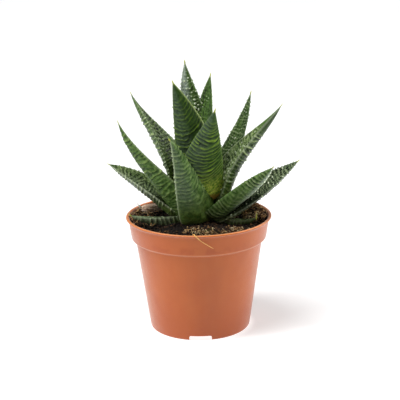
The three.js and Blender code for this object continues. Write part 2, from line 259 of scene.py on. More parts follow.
mottle, wire, given, taken = new_tree(
    "mottle", "ShaderNodeTree",
    [("Place", PLACE, None), ("Patch Size", FLOAT, 0.01), ("Sharpness", FLOAT, 0.5)],
    [("Mask", FLOAT)])
patches = wire.noise(given["Place"], wire.math("DIVIDE", 1.0, given["Patch Size"]), 3.0, 0.55, 0.4)
half_band = wire.times(wire.math("SUBTRACT", 1.0, given["Sharpness"]), 0.3)
low = wire.math("SUBTRACT", 0.5, half_band)
high = wire.plus(0.501, half_band)
wire.feed(taken["Mask"], wire.span(patches, low, high))
print("mottle:", len(mottle.nodes), "nodes")

# %% Group: grain
grain, wire, given, taken = new_tree(
    "grain", "ShaderNodeTree",
    [("Place", PLACE, None), ("Fine Size", FLOAT, 0.0004), ("Coarse Size", FLOAT, 0.002),
     ("Coarse Share", FLOAT, 0.5)],
    [("Height", FLOAT)])
fine = wire.noise(given["Place"], wire.math("DIVIDE", 1.0, given["Fine Size"]), 2.0, 0.6)
coarse = wire.noise(given["Place"], wire.math("DIVIDE", 1.0, given["Coarse Size"]), 3.0, 0.6)
fine_part = wire.times(fine, wire.math("SUBTRACT", 1.0, given["Coarse Share"]))
wire.feed(taken["Height"], wire.plus(fine_part, wire.times(coarse, given["Coarse Share"])))
print("grain:", len(grain.nodes), "nodes")

# %% Group: peat dust
peat_dust, wire, given, taken = new_tree(
    "peat_dust", "ShaderNodeTree",
    [("Place", PLACE, None), ("Clean", COLOUR, (1, 1, 1, 1)), ("Dust", COLOUR, rgb(70, 52, 36)),
     ("Full Height", FLOAT, 0.06), ("End Height", FLOAT, 0.07), ("Amount", FLOAT, 0.5)],
    [("Color", COLOUR), ("Mask", FLOAT)])
height = wire.part_of(given["Place"], "Z")
reach = wire.span(height, given["End Height"], given["Full Height"])
specks = wire.span(wire.noise(given["Place"], 900.0, 4.0, 0.7), 0.42, 0.62)
covered = wire.times(wire.times(reach, specks), given["Amount"])
wire.feed(taken["Color"], wire.mix(covered, given["Clean"], given["Dust"]))
wire.feed(taken["Mask"], covered)
print("shader groups:", [tree.name for tree in bpy.data.node_groups])


# %% Start and end of a finish
def new_finish(name, **fixed):
    """A material with its wiring, its Principled shader and the object's own coordinates.
    Numbers that are the same all over are set on the shader's own sockets."""
    material = bpy.data.materials.new(name)
    material.use_nodes = True
    wiring = Wiring(material.node_tree)
    shader = material.node_tree.nodes["Principled BSDF"]
    for title, value in fixed.items():
        shader.inputs[title.replace("_", " ")].default_value = value
    place = wiring.add("ShaderNodeTexCoord").outputs["Object"]
    return material, wiring, shader, place


def use_group(wiring, tree, **given):
    """Places a shared group and sets its inputs by name, with _ for a space."""
    node = wiring.add("ShaderNodeGroup", node_tree=tree)
    for title, value in given.items():
        wiring.feed(node.inputs[title.replace("_", " ")], value)
    return node.outputs


def mottled(wiring, place, size, sharpness):
    """The mask of the shared group mottle, with patches of one size in metres."""
    return use_group(wiring, mottle, Place=place, Patch_Size=size, Sharpness=sharpness)["Mask"]


def grained(wiring, place, fine, coarse, share):
    """The height of the shared group grain: two sizes in metres and the coarse one's share."""
    return use_group(wiring, grain, Place=place, Fine_Size=fine, Coarse_Size=coarse, Coarse_Share=share)["Height"]


def relief(wiring, shader, height, depth):
    """A Bump node from a height to the shader's normal; depth is in metres."""
    bump = wiring.add("ShaderNodeBump", {"Height": height, "Distance": depth})
    wiring.feed(shader.inputs["Normal"], bump.outputs[0])


def dry_skin(wiring, shader, place, tone, sizes, rough=(0.7, 0.95), depth=0.0003, low=0.2):
    """The end of most finishes: a colour, and one grain that sets roughness and relief."""
    wiring.feed(shader.inputs["Base Color"], tone)
    fine = grained(wiring, place, *sizes)
    wiring.feed(shader.inputs["Roughness"], wiring.span(fine, low, 0.8, *rough))
    if depth:
        relief(wiring, shader, fine, depth)


print("finish helpers ready for", len(bpy.data.node_groups), "groups")


# %% [markdown]
# ## From numbers and nodes to plain mesh objects
# Leaves, soil and pot all end as plain meshes at the origin, with their place in their
# vertices, as the CAD's nodes have. `mesh_object` makes one from arrays in millimetres, and
# `grown` runs a Geometry Nodes tree over one and keeps only the result, with no modifier left.

# %% Mesh helpers
MM = 0.001


def mesh_object(name, points, faces, attributes=None, edges=()):
    """An object from points in millimetres. Attributes are numbers or directions, one a point."""
    mesh = bpy.data.meshes.new(name)
    mesh.from_pydata((np.asarray(points) * MM).tolist(), edges, faces)
    for title, values in (attributes or {}).items():
        values = np.asarray(values, dtype=np.float32)
        is_direction = values.ndim == 2
        layer = mesh.attributes.new(title, "FLOAT_VECTOR" if is_direction else "FLOAT", "POINT")
        layer.data.foreach_set("vector" if is_direction else "value", values.ravel())
    return placed(name, mesh)


def made_solid(name, shape):
    """An object from a bmesh in metres."""
    mesh = bpy.data.meshes.new(name)
    shape.to_mesh(mesh)
    shape.free()
    return placed(name, mesh)


def grown(thing, tree, **given):
    """Runs a Geometry Nodes tree over an object, sets its inputs by name and keeps the mesh."""
    modifier = thing.modifiers.new("grow", "NODES")
    modifier.node_group = tree
    sockets = {item.name: item.identifier for item in tree.interface.items_tree
               if item.item_type == "SOCKET" and item.in_out == "INPUT"}
    for title, value in given.items():
        modifier[sockets[title.replace("_", " ")]] = value
    graph = bpy.context.evaluated_depsgraph_get()
    mesh = bpy.data.meshes.new_from_object(thing.evaluated_get(graph))
    thing.modifiers.remove(modifier)
    thing.data = mesh
    mesh.name = thing.name


def triangles(thing):
    return sum(len(face.vertices) - 2 for face in thing.data.polygons)


def in_place_of(thing, slot, *nodes):
    """The piece rides on the only body and stands for its CAD nodes, which it hides; slot is not used."""
    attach(thing, "root")
    if nodes:
        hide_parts(*nodes)
    print(f"{thing.name}: {triangles(thing)} triangles")


print("mesh helpers ready")

# %% [markdown]
# ## The pot
# The real pot is one injection moulding: a thin lip, a deep collar that steps in to a tapering
# body, a foot ring with notches that let water out, and drain holes in a raised floor. It could
# be turned with a Screw modifier and cut by hand-placed booleans. A Geometry Nodes tree does
# both by rule instead: it sweeps the wall's profile round a circle, and cuts the same notch and
# the same hole as many times as it is told to, evenly spaced.

# %% The wall's profile
def softened(corners, steps=5):
    """A profile of [radius, height, rounding] corners as a fine line, each corner an arc."""
    line = []
    for index, (radius, height, rounding) in enumerate(corners):
        corner = np.array([radius, height])
        if rounding == 0:
            line.append(corner)
            continue
        before = np.array(corners[index - 1][:2]) - corner
        after = np.array(corners[index + 1][:2]) - corner
        cut = min(rounding, 0.45 * np.linalg.norm(before), 0.45 * np.linalg.norm(after))
        start = corner + before / np.linalg.norm(before) * cut
        end = corner + after / np.linalg.norm(after) * cut
        for step in range(steps + 1):
            share = step / steps
            line.append((1 - share) ** 2 * start + 2 * share * (1 - share) * corner + share ** 2 * end)
    return np.array(line)


# From the middle of the inside floor, up the inside, over the lip, down the outside and back
# under the foot, so that the swept faces point outwards.
POT_CORNERS = [
    (0, 1.25, 0), (11.3, 1.25, 0.5), (12.8, 4.25, 0.5), (28.55, 4.25, 0.9), (35.65, 53.5, 0.5),
    (38.15, 55.3, 0.5), (40.3, 66.3, 0.4), (40.8, 67, 0.35), (42.1, 67, 0.35), (42.5, 66.6, 0.3),
    (42.2, 66.1, 0.3), (41.3, 65.6, 0.6), (40.8, 64.5, 0.8), (39.4, 54.7, 0.5), (38.85, 54.05, 0.25),
    (37.5, 53.6, 0.35), (36.9, 52.8, 0.7), (29.4, 0.6, 0.4), (28.9, 0, 0.3), (28.05, 0, 0.2),
    (27.55, 3, 0.4), (13.5, 3, 0.4), (12, 0, 0.4), (0, 0, 0),
]
profile = softened(POT_CORNERS)
print("profile points:", len(profile))

# %% Tree: turned pot
WHOLE, SHAPE, STUFF = "NodeSocketInt", "NodeSocketGeometry", "NodeSocketMaterial"
turned_pot, wire, given, taken = new_tree(
    "turned_pot", "GeometryNodeTree",
    [("Geometry", SHAPE, None), ("Sides", WHOLE, 192), ("Sweep Radius", FLOAT, 0.03),
     ("Notches", WHOLE, 3), ("Notch Width", FLOAT, 0.013), ("Notch Height", FLOAT, 0.0028),
     ("Notch Circle", FLOAT, 0.0285), ("Drains", WHOLE, 6), ("Drain Radius", FLOAT, 0.0032),
     ("Drain Circle", FLOAT, 0.0205), ("Material", STUFF, None)],
    [("Geometry", SHAPE)])
line = wire.geo("MeshToCurve", {0: given["Geometry"]})
circle = wire.geo("CurvePrimitiveCircle", {"Resolution": given["Sides"], "Radius": given["Sweep Radius"]})
upright = wire.geo("SetCurveNormal", {"Curve": circle}, mode="Z_UP")
swept = wire.geo("CurveToMesh", {"Curve": upright, "Profile Curve": line})
wall = wire.geo("MergeByDistance", {"Geometry": swept, "Distance": 1e-6})

# A notch is a flat plate with two rounded corners, pushed out into a block through the ring.
plate = wire.geo("CurvePrimitiveQuadrilateral", {
    "Width": given["Notch Width"], "Height": wire.times(given["Notch Height"], 2.0)})
rounded = wire.geo("FilletCurve", {"Curve": plate, "Count": 5, "Radius": 0.001}, mode="POLY")
filled = wire.geo("FillCurve", {"Curve": rounded}, mode="NGONS")
block = wire.geo("ExtrudeMesh", {"Mesh": filled, "Offset Scale": 0.006, "Individual": False})
closed = wire.join(block, wire.geo("FlipFaces", {"Mesh": filled}))
sealed = wire.geo("MergeByDistance", {"Geometry": closed, "Distance": 1e-6})
cutter = wire.geo("Transform", {
    "Geometry": sealed, "Rotation": (math.pi / 2, 0, math.pi / 2), "Translation": (-0.003, 0, 0)})
notch_ring = wire.geo("MeshCircle", {"Vertices": given["Notches"], "Radius": given["Notch Circle"]})
facing = wire.geo("Transform", {"Geometry": notch_ring, "Rotation": (0, 0, -math.pi / 2)})
away = wire.add("FunctionNodeAlignRotationToVector", {"Vector": wire.geo("InputPosition")}, axis="X", pivot_axis="Z")
notches = wire.geo("InstanceOnPoints", {"Points": facing, "Instance": cutter, "Rotation": away.outputs[0]})

# A drain is a cylinder through the floor.
drill = wire.geo("MeshCylinder", {"Vertices": 32, "Radius": given["Drain Radius"], "Depth": 0.01})
drain_ring = wire.geo("MeshCircle", {"Vertices": given["Drains"], "Radius": given["Drain Circle"]})
drains = wire.geo("InstanceOnPoints", {"Points": drain_ring, "Instance": drill})
cutters = wire.join(*(wire.geo("RealizeInstances", {0: holes}) for holes in (notches, drains)))
cut = wire.geo("MeshBoolean", {"Mesh 1": wall, "Mesh 2": cutters}, operation="DIFFERENCE", solver="EXACT")
wire.finish(taken, cut, (given["Material"], True))
print("pot tree:", len(turned_pot.nodes), "nodes")

# %% [markdown]
# ## The pot's finish
# Cheap polypropylene has a satin skin: one soft terracotta tone with slow warm patches, faint
# streaks where the melt ran up the mould, and dust from the soil near the rim. Sheen stands for
# the haze that such plastic shows towards its edges. Bands of height, in metres up the pot, make
# the rest: a deeper tone towards the foot, smudges low on the collar, and painted highlights
# along the collar's lower edge and the top of the thin lip. Noise drives the roughness, and a
# very fine grain the normal.

# %% Finish: terracotta plastic
terracotta, wire, shader, place = new_finish("terracotta_plastic", IOR=1.49, Specular_IOR_Level=0.5,
                                              Sheen_Weight=0.33, Sheen_Roughness=0.4)
patchy = mottled(wire, place, 0.022, 0.25)
stretched = wire.add("ShaderNodeMapping", {"Vector": place, "Scale": (1, 1, 0.12)}).outputs[0]
streaky = mottled(wire, stretched, 0.006, 0.1)
height = wire.part_of(place, "Z")
foot = wire.span(height, 0.026, 0.0)
band = wire.times(wire.span(height, 0.0535, 0.056), wire.span(height, 0.0605, 0.0575))
smudged = wire.times(band, mottled(wire, place, 0.009, 0.7))
# Painted highlights: a pale line along the collar's lower edge, and a brighter line on the top of the lip.
edge = wire.times(wire.span(height, 0.0539, 0.0542), wire.span(height, 0.0551, 0.0546))
lip_highlight = wire.span(height, 0.0666, 0.0669)
tone = wire.coats(
    wire.mix(patchy, rgb(167, 79, 9), rgb(159, 71, 4)),
    (streaky, 0.22, rgb(164, 90, 34)),
    (foot, 0.7, rgb(154, 66, 0)),
    (smudged, 0.9, rgb(155, 67, 0)),
    (edge, 0.28, rgb(206, 138, 96)),
    (lip_highlight, 0.8, rgb(222, 132, 62)))
dusty = use_group(wire, peat_dust, Place=place, Clean=tone, Full_Height=0.0672, End_Height=0.0615, Amount=0.22)
wire.feed(shader.inputs["Base Color"], dusty["Color"])
fine = grained(wire, place, 0.00035, 0.006, 0.5)
rough = wire.span(wire.plus(fine, wire.times(dusty["Mask"], 0.5)), 0.3, 0.9, 0.33, 0.6)
wire.feed(shader.inputs["Roughness"], rough)
relief(wire, shader, fine, 0.00008)
print("pot finish:", len(terracotta.node_tree.nodes), "nodes")

# %% Make the pot
SWEEP_RADIUS = 30
POT_SIDES = 192
SHARP_FROM = math.radians(32)
sweep_line = np.column_stack([profile[:, 0] - SWEEP_RADIUS, -profile[:, 1], np.zeros(len(profile))])
steps = [(index, index + 1) for index in range(len(profile) - 1)]
pot = mesh_object("nursery_pot", sweep_line, [], edges=steps)
grown(pot, turned_pot, Sides=POT_SIDES, Sweep_Radius=SWEEP_RADIUS * MM, Material=terracotta)
pot.data.shade_smooth()
pot.data.set_sharp_from_angle(angle=SHARP_FROM)
in_place_of(pot, "pot", "pot")

# %% [markdown]
# ## The leaves
# Every leaf is a thick blade: a deep belly outside, a shallow channel inside, and a margin with
# a horny edge. Raised ridges cross it every two or three millimetres, and on the side that faces
# the stem they break up into rows of pale tubercles. A rule makes all of it, so each leaf is a
# grid of points worked out by formula with NumPy, from the same table as the CAD's solids; only
# the two small leaves on the soil are a little deeper and more rolled here. In nodes the same
# rule would take a hundred math nodes. The tubercles are one small dome repeated over the blade,
# and those Geometry Nodes place.

# %% The table of leaves
# Place in the rosette, then base as angle, distance out and height, the tip, width and depth,
# bow and sway in hundredths of the length, roll and twist in degrees, and how full it is.
LEAVES = [
    ["bud", [300, 1, 90], [-1, -1, 121], [10, 4], [2, 2], [0, 0], [0, 0], 1.8],
    ["inner_back", [80, 3, 88], [-6.6, 8, 155.7], [22, 5.5], [5, 2], [-5, 2.3], [3, 0], 1.8],
    ["inner_right", [24, 3, 86], [8, 5.4, 148.6], [20.5, 5.5], [-6, -2.5], [3, 2], [13, 14], 2.1],
    ["inner_front", [254, 4, 82.5], [-13.4, -9.5, 147.3], [26, 6], [-3.5, 0], [10.7, 5], [7, 4], 2],
    ["front_right", [270, 6, 77.5], [10, -24.6, 134], [27.5, 6.5], [-4, 10.5], [-3, -4], [-2, 9], 2.05],
    ["right_tall", [4, 7.5, 75], [47.9, -5.3, 132.6], [28, 10], [-15.5, -3], [4, -2], [17, -29], 1.7],
    ["left_tall", [152, 5.5, 78], [-38.1, 9.2, 138.2], [28, 8], [-9, -2], [-6.5, 1.5], [-15, 50], 2.05],
    ["right_back", [45, 6, 76], [31.9, 26, 134.2], [20, 5.5], [4, 6.5], [-1, -2], [0, -4], 1.7],
    ["back_tall", [108, 5, 78], [-11, 34, 117], [22, 6], [5, 6], [0, 0], [0, 0], 1.8],
    ["back_left", [130, 7, 72], [-19, 29, 104], [19, 6], [6, 6], [0, 0], [0, 0], 1.8],
    ["back_right", [70, 7, 72], [16, 39, 97], [22, 6], [6, 6], [0, 0], [0, 0], 1.8],
    ["front", [279, 8, 67.5], [-15.4, -32.9, 119.6], [26, 7], [7.5, -5], [-3.5, 4], [19, 7], 1.1],
    ["left_mid", [215, 8.5, 69.5], [-43.5, -27.8, 129.1], [26, 7.3], [-6, 7.5], [0.5, 1.5], [12, -18], 1.7],
    ["right_outer", [42, 8, 69], [26, 30, 99], [17, 6], [5, 5], [0, 0], [0, 0], 1.8],
    ["right_front", [325, 9, 68.5], [41.7, -30, 102.5], [22, 5.7], [0.5, 0], [0.5, 3.3], [-5, -26], 2.2],
    ["right_low", [354, 8, 67.5], [57, -14.3, 102.1], [25, 7], [2.5, 2.5], [0, 1], [18, 11], 2],
    ["left_low", [177, 8, 70], [-51.9, 4, 97.2], [25, 8.5], [-6, -5], [-2.5, -1.5], [-7, -5], 2.3],
    ["back_low", [98, 8, 68], [-6, 45.5, 87], [22, 6], [8, 6], [0, 0], [0, 0], 1.8],
    ["right_under", [20, 9, 67.5], [38, 15, 82], [16, 5.5], [6, 6], [0, 0], [0, 0], 1.8],
    ["left_under", [150, 9, 66.5], [-36, 17, 84], [18, 5.5], [6, 6], [0, 0], [0, 0], 1.8],
    ["small_left", [194, 8, 67], [-39.3, -8, 69.6], [13.5, 8.5], [3, 7], [0, 0], [20, -17], 2.2],
    ["small_right", [337, 9, 67], [33.1, -12.8, 68.4], [12, 7], [5, 10], [0, 0], [-13, 8], 2.1],
]
print("leaves:", len(LEAVES))

# %% How the leaves differ
# Each look differs from the plain one. step and height are the ridges' spacing and height, and
# rise how far they climb to the left and right margins, in mm; thick is a ridge's half width.
# line is how clear a ridge's pale line is, pale how white, break_up how far ridges fall apart,
# and net how far they join crosswise. furrow is how deep the groove under a ridge is
# on the outer face and how dark the painted shadow in it is. inner and outer are the tubercles on
# each face and dome their size. edge is the pale line on the left and right margins, edge_at its
# place at the base and how far it moves out by the tip (1 is the margin); moved in from the
# margin, it is a painted highlight. Ridges are clear_from and clear_to those shares of the length.
# fresh is how light the green is, on some leaves as painted light; young how
# yellow the base is, which is also painted lighter as painted light, since the base lies in shade;
# and bloom how grey one half (bloom_side) is, from bloom_from on,
# with bloom and with a painted sheen of reflected light. streak is how strong the paler stripes
# along the blade are. foot is how much painted shade darkens the blade near the soil, and beaded
# how often a ridge ends in a bead at the margin. On the inner face, pits is how deep the
# hollows of the net are and how dark with painted shade, and cover how pale the skin between them
# is. tip is the least half width in mm, and awn the fine tip's direction and length, where it
# hooks.
PLAIN_LOOK = dict(
    step=2.6, height=0.5, thick=0.4, rise=(2.5, 2.5), line=0.45, pale=0.4, break_up=0.6, net=0.3, furrow=0.3,
    inner=0.6, outer=0.1, dome=1.1, edge=(0.2, 0.2), edge_at=(1, 0), clear_from=0.02, clear_to=0.85, fresh=0.25,
    streak=1, young=0.2, bloom=0.1, bloom_side=1, bloom_from=0.12, foot=1, beaded=0.15, pits=0.4, cover=0.2,
    tip=0.42, awn=None)
LOOKS = {
    # On inner_back the grey half towards the tip is a painted glossy reflection.
    "inner_back": dict(
        step=2.4, height=0.4, line=0.35, pale=0.95, break_up=0.85, inner=0.85, dome=1.8, edge=(0.3, 0.4), fresh=0,
        bloom=2, bloom_side=-1, bloom_from=0.5, beaded=0.6, pits=0.5, cover=0.1),
    "inner_right": dict(
        height=0.3, line=0.15, pale=0.3, break_up=0.9, net=0.1, inner=0.4, edge=(0.3, 0.3), fresh=-0.3, young=0.1,
        pits=0.5, cover=0),
    "inner_front": dict(
        step=2.75, height=0.65, thick=0.3, rise=(4, 10.5), line=0.72, pale=0, outer=0, edge=(0.35, 0.9),
        clear_to=0.76, furrow=0.5, fresh=0.15, young=0.35, bloom=0.7, beaded=0.5),
    # On front_right the yellow young base is painted lighter, as painted light, where the leaves in front shade it.
    "front_right": dict(
        step=2.35, height=0.65, thick=0.34, rise=(4, 9), line=0.82, pale=0, break_up=0.65, outer=0,
        edge=(0.1, 0.15), clear_to=0.8, furrow=0.75, fresh=0.45, young=1, bloom=1.05),
    "right_tall": dict(
        step=2.3, height=0.85, line=0.74, pale=0.6, net=0.7, inner=0.8, outer=0, dome=1.7, edge=(0.3, 0.4),
        clear_to=0.66, furrow=0.7, fresh=0.5, bloom=0, beaded=0, pits=1, cover=0.5, streak=0.9),
    "left_tall": dict(
        step=2.4, height=0.95, line=0.7, pale=0.55, net=0.8, inner=0.5, outer=0, dome=1.3, edge=(0.1, 0.2),
        clear_to=0.8, fresh=0.65, beaded=0.5, pits=1, cover=0.36, streak=0.8),
    "right_back": dict(
        step=2.5, height=0.6, line=0.5, pale=0.95, break_up=0.95, dome=1.2, clear_to=0.9, fresh=0, pits=0.6,
        cover=0.05),
    "front": dict(
        height=0.65, thick=0.5, rise=(3, 4), line=0.36, pale=0.5, break_up=0.85, outer=0, edge=(0.4, 0.05),
        furrow=0.5, clear_from=0.07, fresh=1.6, young=0.1, bloom=0.5, foot=0.45, beaded=0),
    "left_mid": dict(
        step=2.9, height=0.85, thick=0.5, line=0.55, pale=0.3, break_up=0.85, outer=0.02, edge=(0.3, 0.3),
        clear_to=0.82, furrow=0.8, fresh=0.95, young=0, bloom=0.25, foot=0.6, beaded=0.3),
    # On right_front the pale margin line is moved in to where the outline falls, a painted highlight.
    "right_front": dict(
        step=2.4, height=0.7, thick=0.46, line=0.5, pale=0.8, break_up=0.75, outer=0, edge=(0.05, 1.5),
        edge_at=(0.21, 0.66), furrow=0.85, fresh=1.2, young=0, bloom=1.2, bloom_side=-1, foot=0.5, beaded=0),
    "right_low": dict(
        step=2.3, height=0.95, thick=0.42, line=0.5, pale=1, net=0.7, inner=0.8, outer=0, dome=1.7,
        clear_from=0.045, clear_to=0.88, fresh=-0.45, bloom=0.3, bloom_side=0, foot=0.7, beaded=0.2, streak=0.15,
        pits=1, cover=0),
    "left_low": dict(
        step=2.3, height=0.95, thick=0.42, line=0.75, pale=0.65, net=0.85, inner=0.4, outer=0, dome=1.2,
        edge=(0.2, 0.5), clear_to=0.86, fresh=0.5, bloom=0.4, bloom_side=-1, foot=0.7, beaded=0.4, pits=1,
        cover=0.28, streak=0.4),
    # The two small leaves are painted lighter, as painted light, and get little painted shade near the soil, since the
    # leaves above shade them.
    "small_left": dict(
        step=2.3, height=0.4, line=0.6, pale=0.75, break_up=0.3, outer=0, fresh=1.6, young=0, bloom=1.1,
        bloom_side=0, foot=0.1, beaded=0, pits=0.3, tip=0.5, awn=(-1.2, -0.2, 1.6)),
    "small_right": dict(
        step=2.4, height=0.2, line=0.3, pale=0.45, break_up=0.8, outer=0, fresh=1.9, young=0, foot=0.1, beaded=0,
        tip=0.95, awn=(0.3, 0, 3.8)),
}
print("leaves with a look of their own:", len(LOOKS))

# %% The form of a leaf
# The middle of the plant in mm, then shares of the length or the width: how far the blade goes on
# below its base, how wide it is there and where it is widest, and how keeled and hollowed it is.
PLANT_Y = 1
BASE_REACH = 0.07
BASE_WIDTH = 0.72
WIDEST_AT = 0.14
KEEL = 0.25
CHANNEL = 0.1


def unit(vectors):
    return vectors / np.linalg.norm(vectors, axis=-1, keepdims=True)


def spine_of(leaf):
    """A leaf's middle line as four Bezier points, with its sideways and inward directions."""
    _, (angle, out, height), tip, _, bow, sway, _, _ = leaf
    outward = np.array([math.cos(math.radians(angle)), math.sin(math.radians(angle)), 0])
    base = np.array([0, PLANT_Y, height]) + outward * out
    chord = np.array(tip, float) - base
    length = np.linalg.norm(chord)
    along = chord / length
    side = np.cross([0, 0, 1], outward)
    side = unit(side - side.dot(along) * along)
    inner = np.cross(along, side)
    if inner.dot(np.array([0, 0, 1]) - outward) < 0:
        inner = -inner
    first = base + 0.33 * chord + 0.01 * length * (sway[0] * side - bow[0] * inner)
    second = base + 0.7 * chord + 0.01 * length * (sway[1] * side - bow[1] * inner)
    return np.array([base, first, second, np.array(tip, float)]), side, inner, length


def frames_at(leaf, spine, t):
    """The middle, across and inward directions at every t of an array."""
    points, side, inner, _ = spine
    t = t[..., None]
    u = 1 - t
    a, b, c, d = points
    centre = u ** 3 * a + 3 * u * u * t * b + 3 * u * t * t * c + t ** 3 * d
    along = unit(3 * u * u * (b - a) + 6 * u * t * (c - b) + 3 * t * t * (d - c))
    flat = unit(side - (along @ side)[..., None] * along)
    inward = np.cross(along, flat)
    inward = inward * np.sign(inward @ inner)[..., None]
    turn = np.radians(leaf[6][0] + leaf[6][1] * t)
    across = flat * np.cos(turn) + inward * np.sin(turn)
    return centre, across, inward * np.cos(turn) - flat * np.sin(turn)


def half_width(leaf, t):
    swell = BASE_WIDTH + (1 - BASE_WIDTH) * np.sin(np.clip(t / WIDEST_AT, 0, 1) * np.pi / 2)
    return leaf[3][0] / 2 * swell * np.maximum(1 - np.maximum(t, 0) ** leaf[7], 0)


def belly(s):
    across = np.abs(s)
    return (1 - KEEL) * (1 - across ** 2.2) ** 0.7 + KEEL * (1 - across) ** 1.2


def eased(value, low, high):
    share = np.clip((value - low) / (high - low), 0, 1)
    return share * share * (3 - 2 * share)


print("leaf form ready")


# %% [markdown]
# ### Ridges
# A ridge stands wherever a phase that counts ridges along the blade passes a whole number. The
# phase wavers with a smooth noise. Here and there it gains a full turn around a point, and at
# each such point a ridge forks, as ridges do on the real leaf.

# %% Ridge pattern
def waver(x, y, random, longest, shortest):
    """A smooth noise over the blade from a few waves, between about -1 and 1."""
    total = np.zeros(np.broadcast(x, y).shape)
    for _ in range(7):
        wave = 2 * np.pi / random.uniform(shortest, longest)
        turn = random.uniform(0, 2 * np.pi)
        total += np.sin(wave * (x * np.cos(turn) + y * np.sin(turn)) + random.uniform(0, 2 * np.pi))
    return total / 4.5


def ridge_phase(x, y, look, random, width, length, forks):
    """Counts ridges along the blade. x and y are millimetres across and along it."""
    phase = y / look["step"] + 0.42 * waver(x, y, random, 20, 6) + 0.14 * waver(x, y, random, 5, 2.2)
    for _ in range(forks):
        place = random.uniform(-0.4, 0.4) * width, random.uniform(0.12, 0.85) * length
        turn = np.arctan2(y - place[1], x - place[0]) / (2 * np.pi)
        phase = phase + random.choice([-1, 1]) * turn
    return phase


def crest_of(phase, step, width):
    """1 on top of a ridge, falling to 0 beside it, and the number of the nearest ridge."""
    number = np.round(phase)
    return np.exp(-(((phase - number) * step / width) ** 2)), number


print("ridge pattern ready")

# %% [markdown]
# ### The blade's grid
# Rows of the grid follow the ridges, so a thin crest needs few points to look smooth. Each point
# also keeps what the finish needs to know: how high on a ridge or deep in a hollow it is, how
# near the margin, how far along, and which face it is on. Points where a tubercle stands keep
# that dome's radius.

# %% Places across and along a blade
ROW_STEP = 0.28
COLUMN_STEP = 0.44


def columns(width):
    """Places across a face from -1 to 1, closer together near the margins."""
    count = 2 * int(width * 1.25 / COLUMN_STEP / 2)
    even = np.linspace(-1, 1, count + 1)
    return 0.65 * np.sin(even * np.pi / 2) + 0.35 * even


def blade_places(leaf, look, length):
    """s across, from -1 to 1 and back, t along, and which points are on the inner face."""
    rows = np.linspace(-BASE_REACH, 1, int(length * (1 + BASE_REACH) / ROW_STEP), endpoint=False)[:, None]
    face = columns(leaf[3][0])
    s = np.concatenate([face, face[-2:0:-1]])[None, :]
    is_inner = (np.arange(s.size) >= face.size)[None, :]
    rise = np.where(s < 0, look["rise"][0], look["rise"][1]) * s * s
    t = rows + rise / length * (1 - rows) ** 0.8
    return rows, s, t, is_inner


print("points across the widest leaf:", 2 * len(columns(max(leaf[3][0] for leaf in LEAVES))) - 2)

# %% Places for the tubercles
BEAD_GAP = 1.8
SHIFTS = 4000
NEAREST = 0.2
SMALLEST_DOME = 0.14


def one_each(number, random, low, high):
    """The same random number wherever a whole number is the same."""
    return random.uniform(low, high, SHIFTS)[number.astype(int) % SHIFTS]


def beads_along(x, number, random):
    """Counts beads along every ridge, each ridge shifted by a length of its own."""
    return x / BEAD_GAP + one_each(number, random, 0, 1)


def dome_places(off_ridge, number, bead_count, random, chance, size):
    """Marks the grid point nearest to each bead. off_ridge is mm from the ridge's top."""
    bead = np.round(bead_count)
    miss = off_ridge ** 2 + ((bead_count - bead) * BEAD_GAP) ** 2
    key = (number * 1000 + bead).ravel()
    order = np.argsort(miss.ravel(), kind="stable")
    _, first = np.unique(key[order], return_index=True)
    picked = order[first]
    keep = (miss.ravel()[picked] < NEAREST) & (random.uniform(0, 1, len(picked)) < chance.ravel()[picked])
    picked = picked[keep]
    domes = np.zeros(miss.size)
    domes[picked] = (0.22 + 0.3 * random.uniform(0, 1, len(picked)) ** 1.5) * size.ravel()[picked]
    return domes.reshape(miss.shape)


def margin_domes(domes, phase, number, column, random, size, beaded):
    """A small dome where a ridge runs out at the margin; beaded is the share of ridges with one."""
    miss = np.abs(phase[:, column] - number[:, column])
    for ridge in np.unique(number[:, column]):
        row = np.where(number[:, column] == ridge, miss, 9).argmin()
        if random.uniform() < beaded:
            domes[row, column] = random.uniform(0.2, 0.42) * size[row, column]


print("tubercle places ready")


# %% How the ridges run over one blade
def ridges_over(leaf, look, length, random):
    """The grid of a blade and what its ridges do, each value an array over the grid."""
    width = leaf[3][0]
    rows, s, t, is_inner = blade_places(leaf, look, length)
    half = np.maximum(half_width(leaf, t), look["tip"])
    x = s * half
    y = rows * length + 0 * s
    outer_phase = ridge_phase(x, y, look, random, width, length, int(width * length / 90))
    inner_phase = ridge_phase(x, y, look, random, width, length, int(width * length / 55))
    phase = np.where(is_inner, inner_phase, outer_phase)
    phase = phase + np.where(is_inner, 0.14, 0.03) * waver(x, y, random, 4, 1.6)
    crest, number = crest_of(phase, look["step"], look["thick"] * np.where(is_inner, 0.8, 1))
    bead_count = beads_along(x + 0.4 * waver(x, y, random, 4, 1.8), number, random)
    fade = eased(t, look["clear_from"], 6 * look["clear_from"])
    fade = fade * (1 - eased(t, look["clear_to"], look["clear_to"] + 0.12))
    patch = np.clip(0.72 + 0.5 * waver(x, y, random, 14, 3.5), 0.12, 1)
    chain = np.clip(0.5 + 0.6 * waver(x, y * 0.4, random, 4.5, 1.7), 0, 1)
    beads = 0.5 - 0.5 * np.cos(2 * np.pi * bead_count)
    joint = np.exp(-(((bead_count - np.round(bead_count)) * BEAD_GAP / 0.36) ** 2))
    crest = crest + np.where(is_inner, look["net"], 0) * joint * (1 - crest)
    gap = np.where(is_inner, 0.4 * chain + 0.6 * beads, chain)
    bold = one_each(number, random, 0.3, 1)
    off_margin = 1 - np.exp(-(((1 - np.abs(s)) * half / 0.8) ** 2))
    clear = fade * patch * bold * np.where(is_inner, off_margin, 1)
    return SimpleNamespace(
        s=s, t=t, is_inner=is_inner, half=half, x=x, y=y, phase=phase, number=number, crest=crest,
        bead_count=bead_count, fade=fade, patch=patch, bold=bold, clear=clear,
        power=clear * (1 - look["break_up"] * gap))
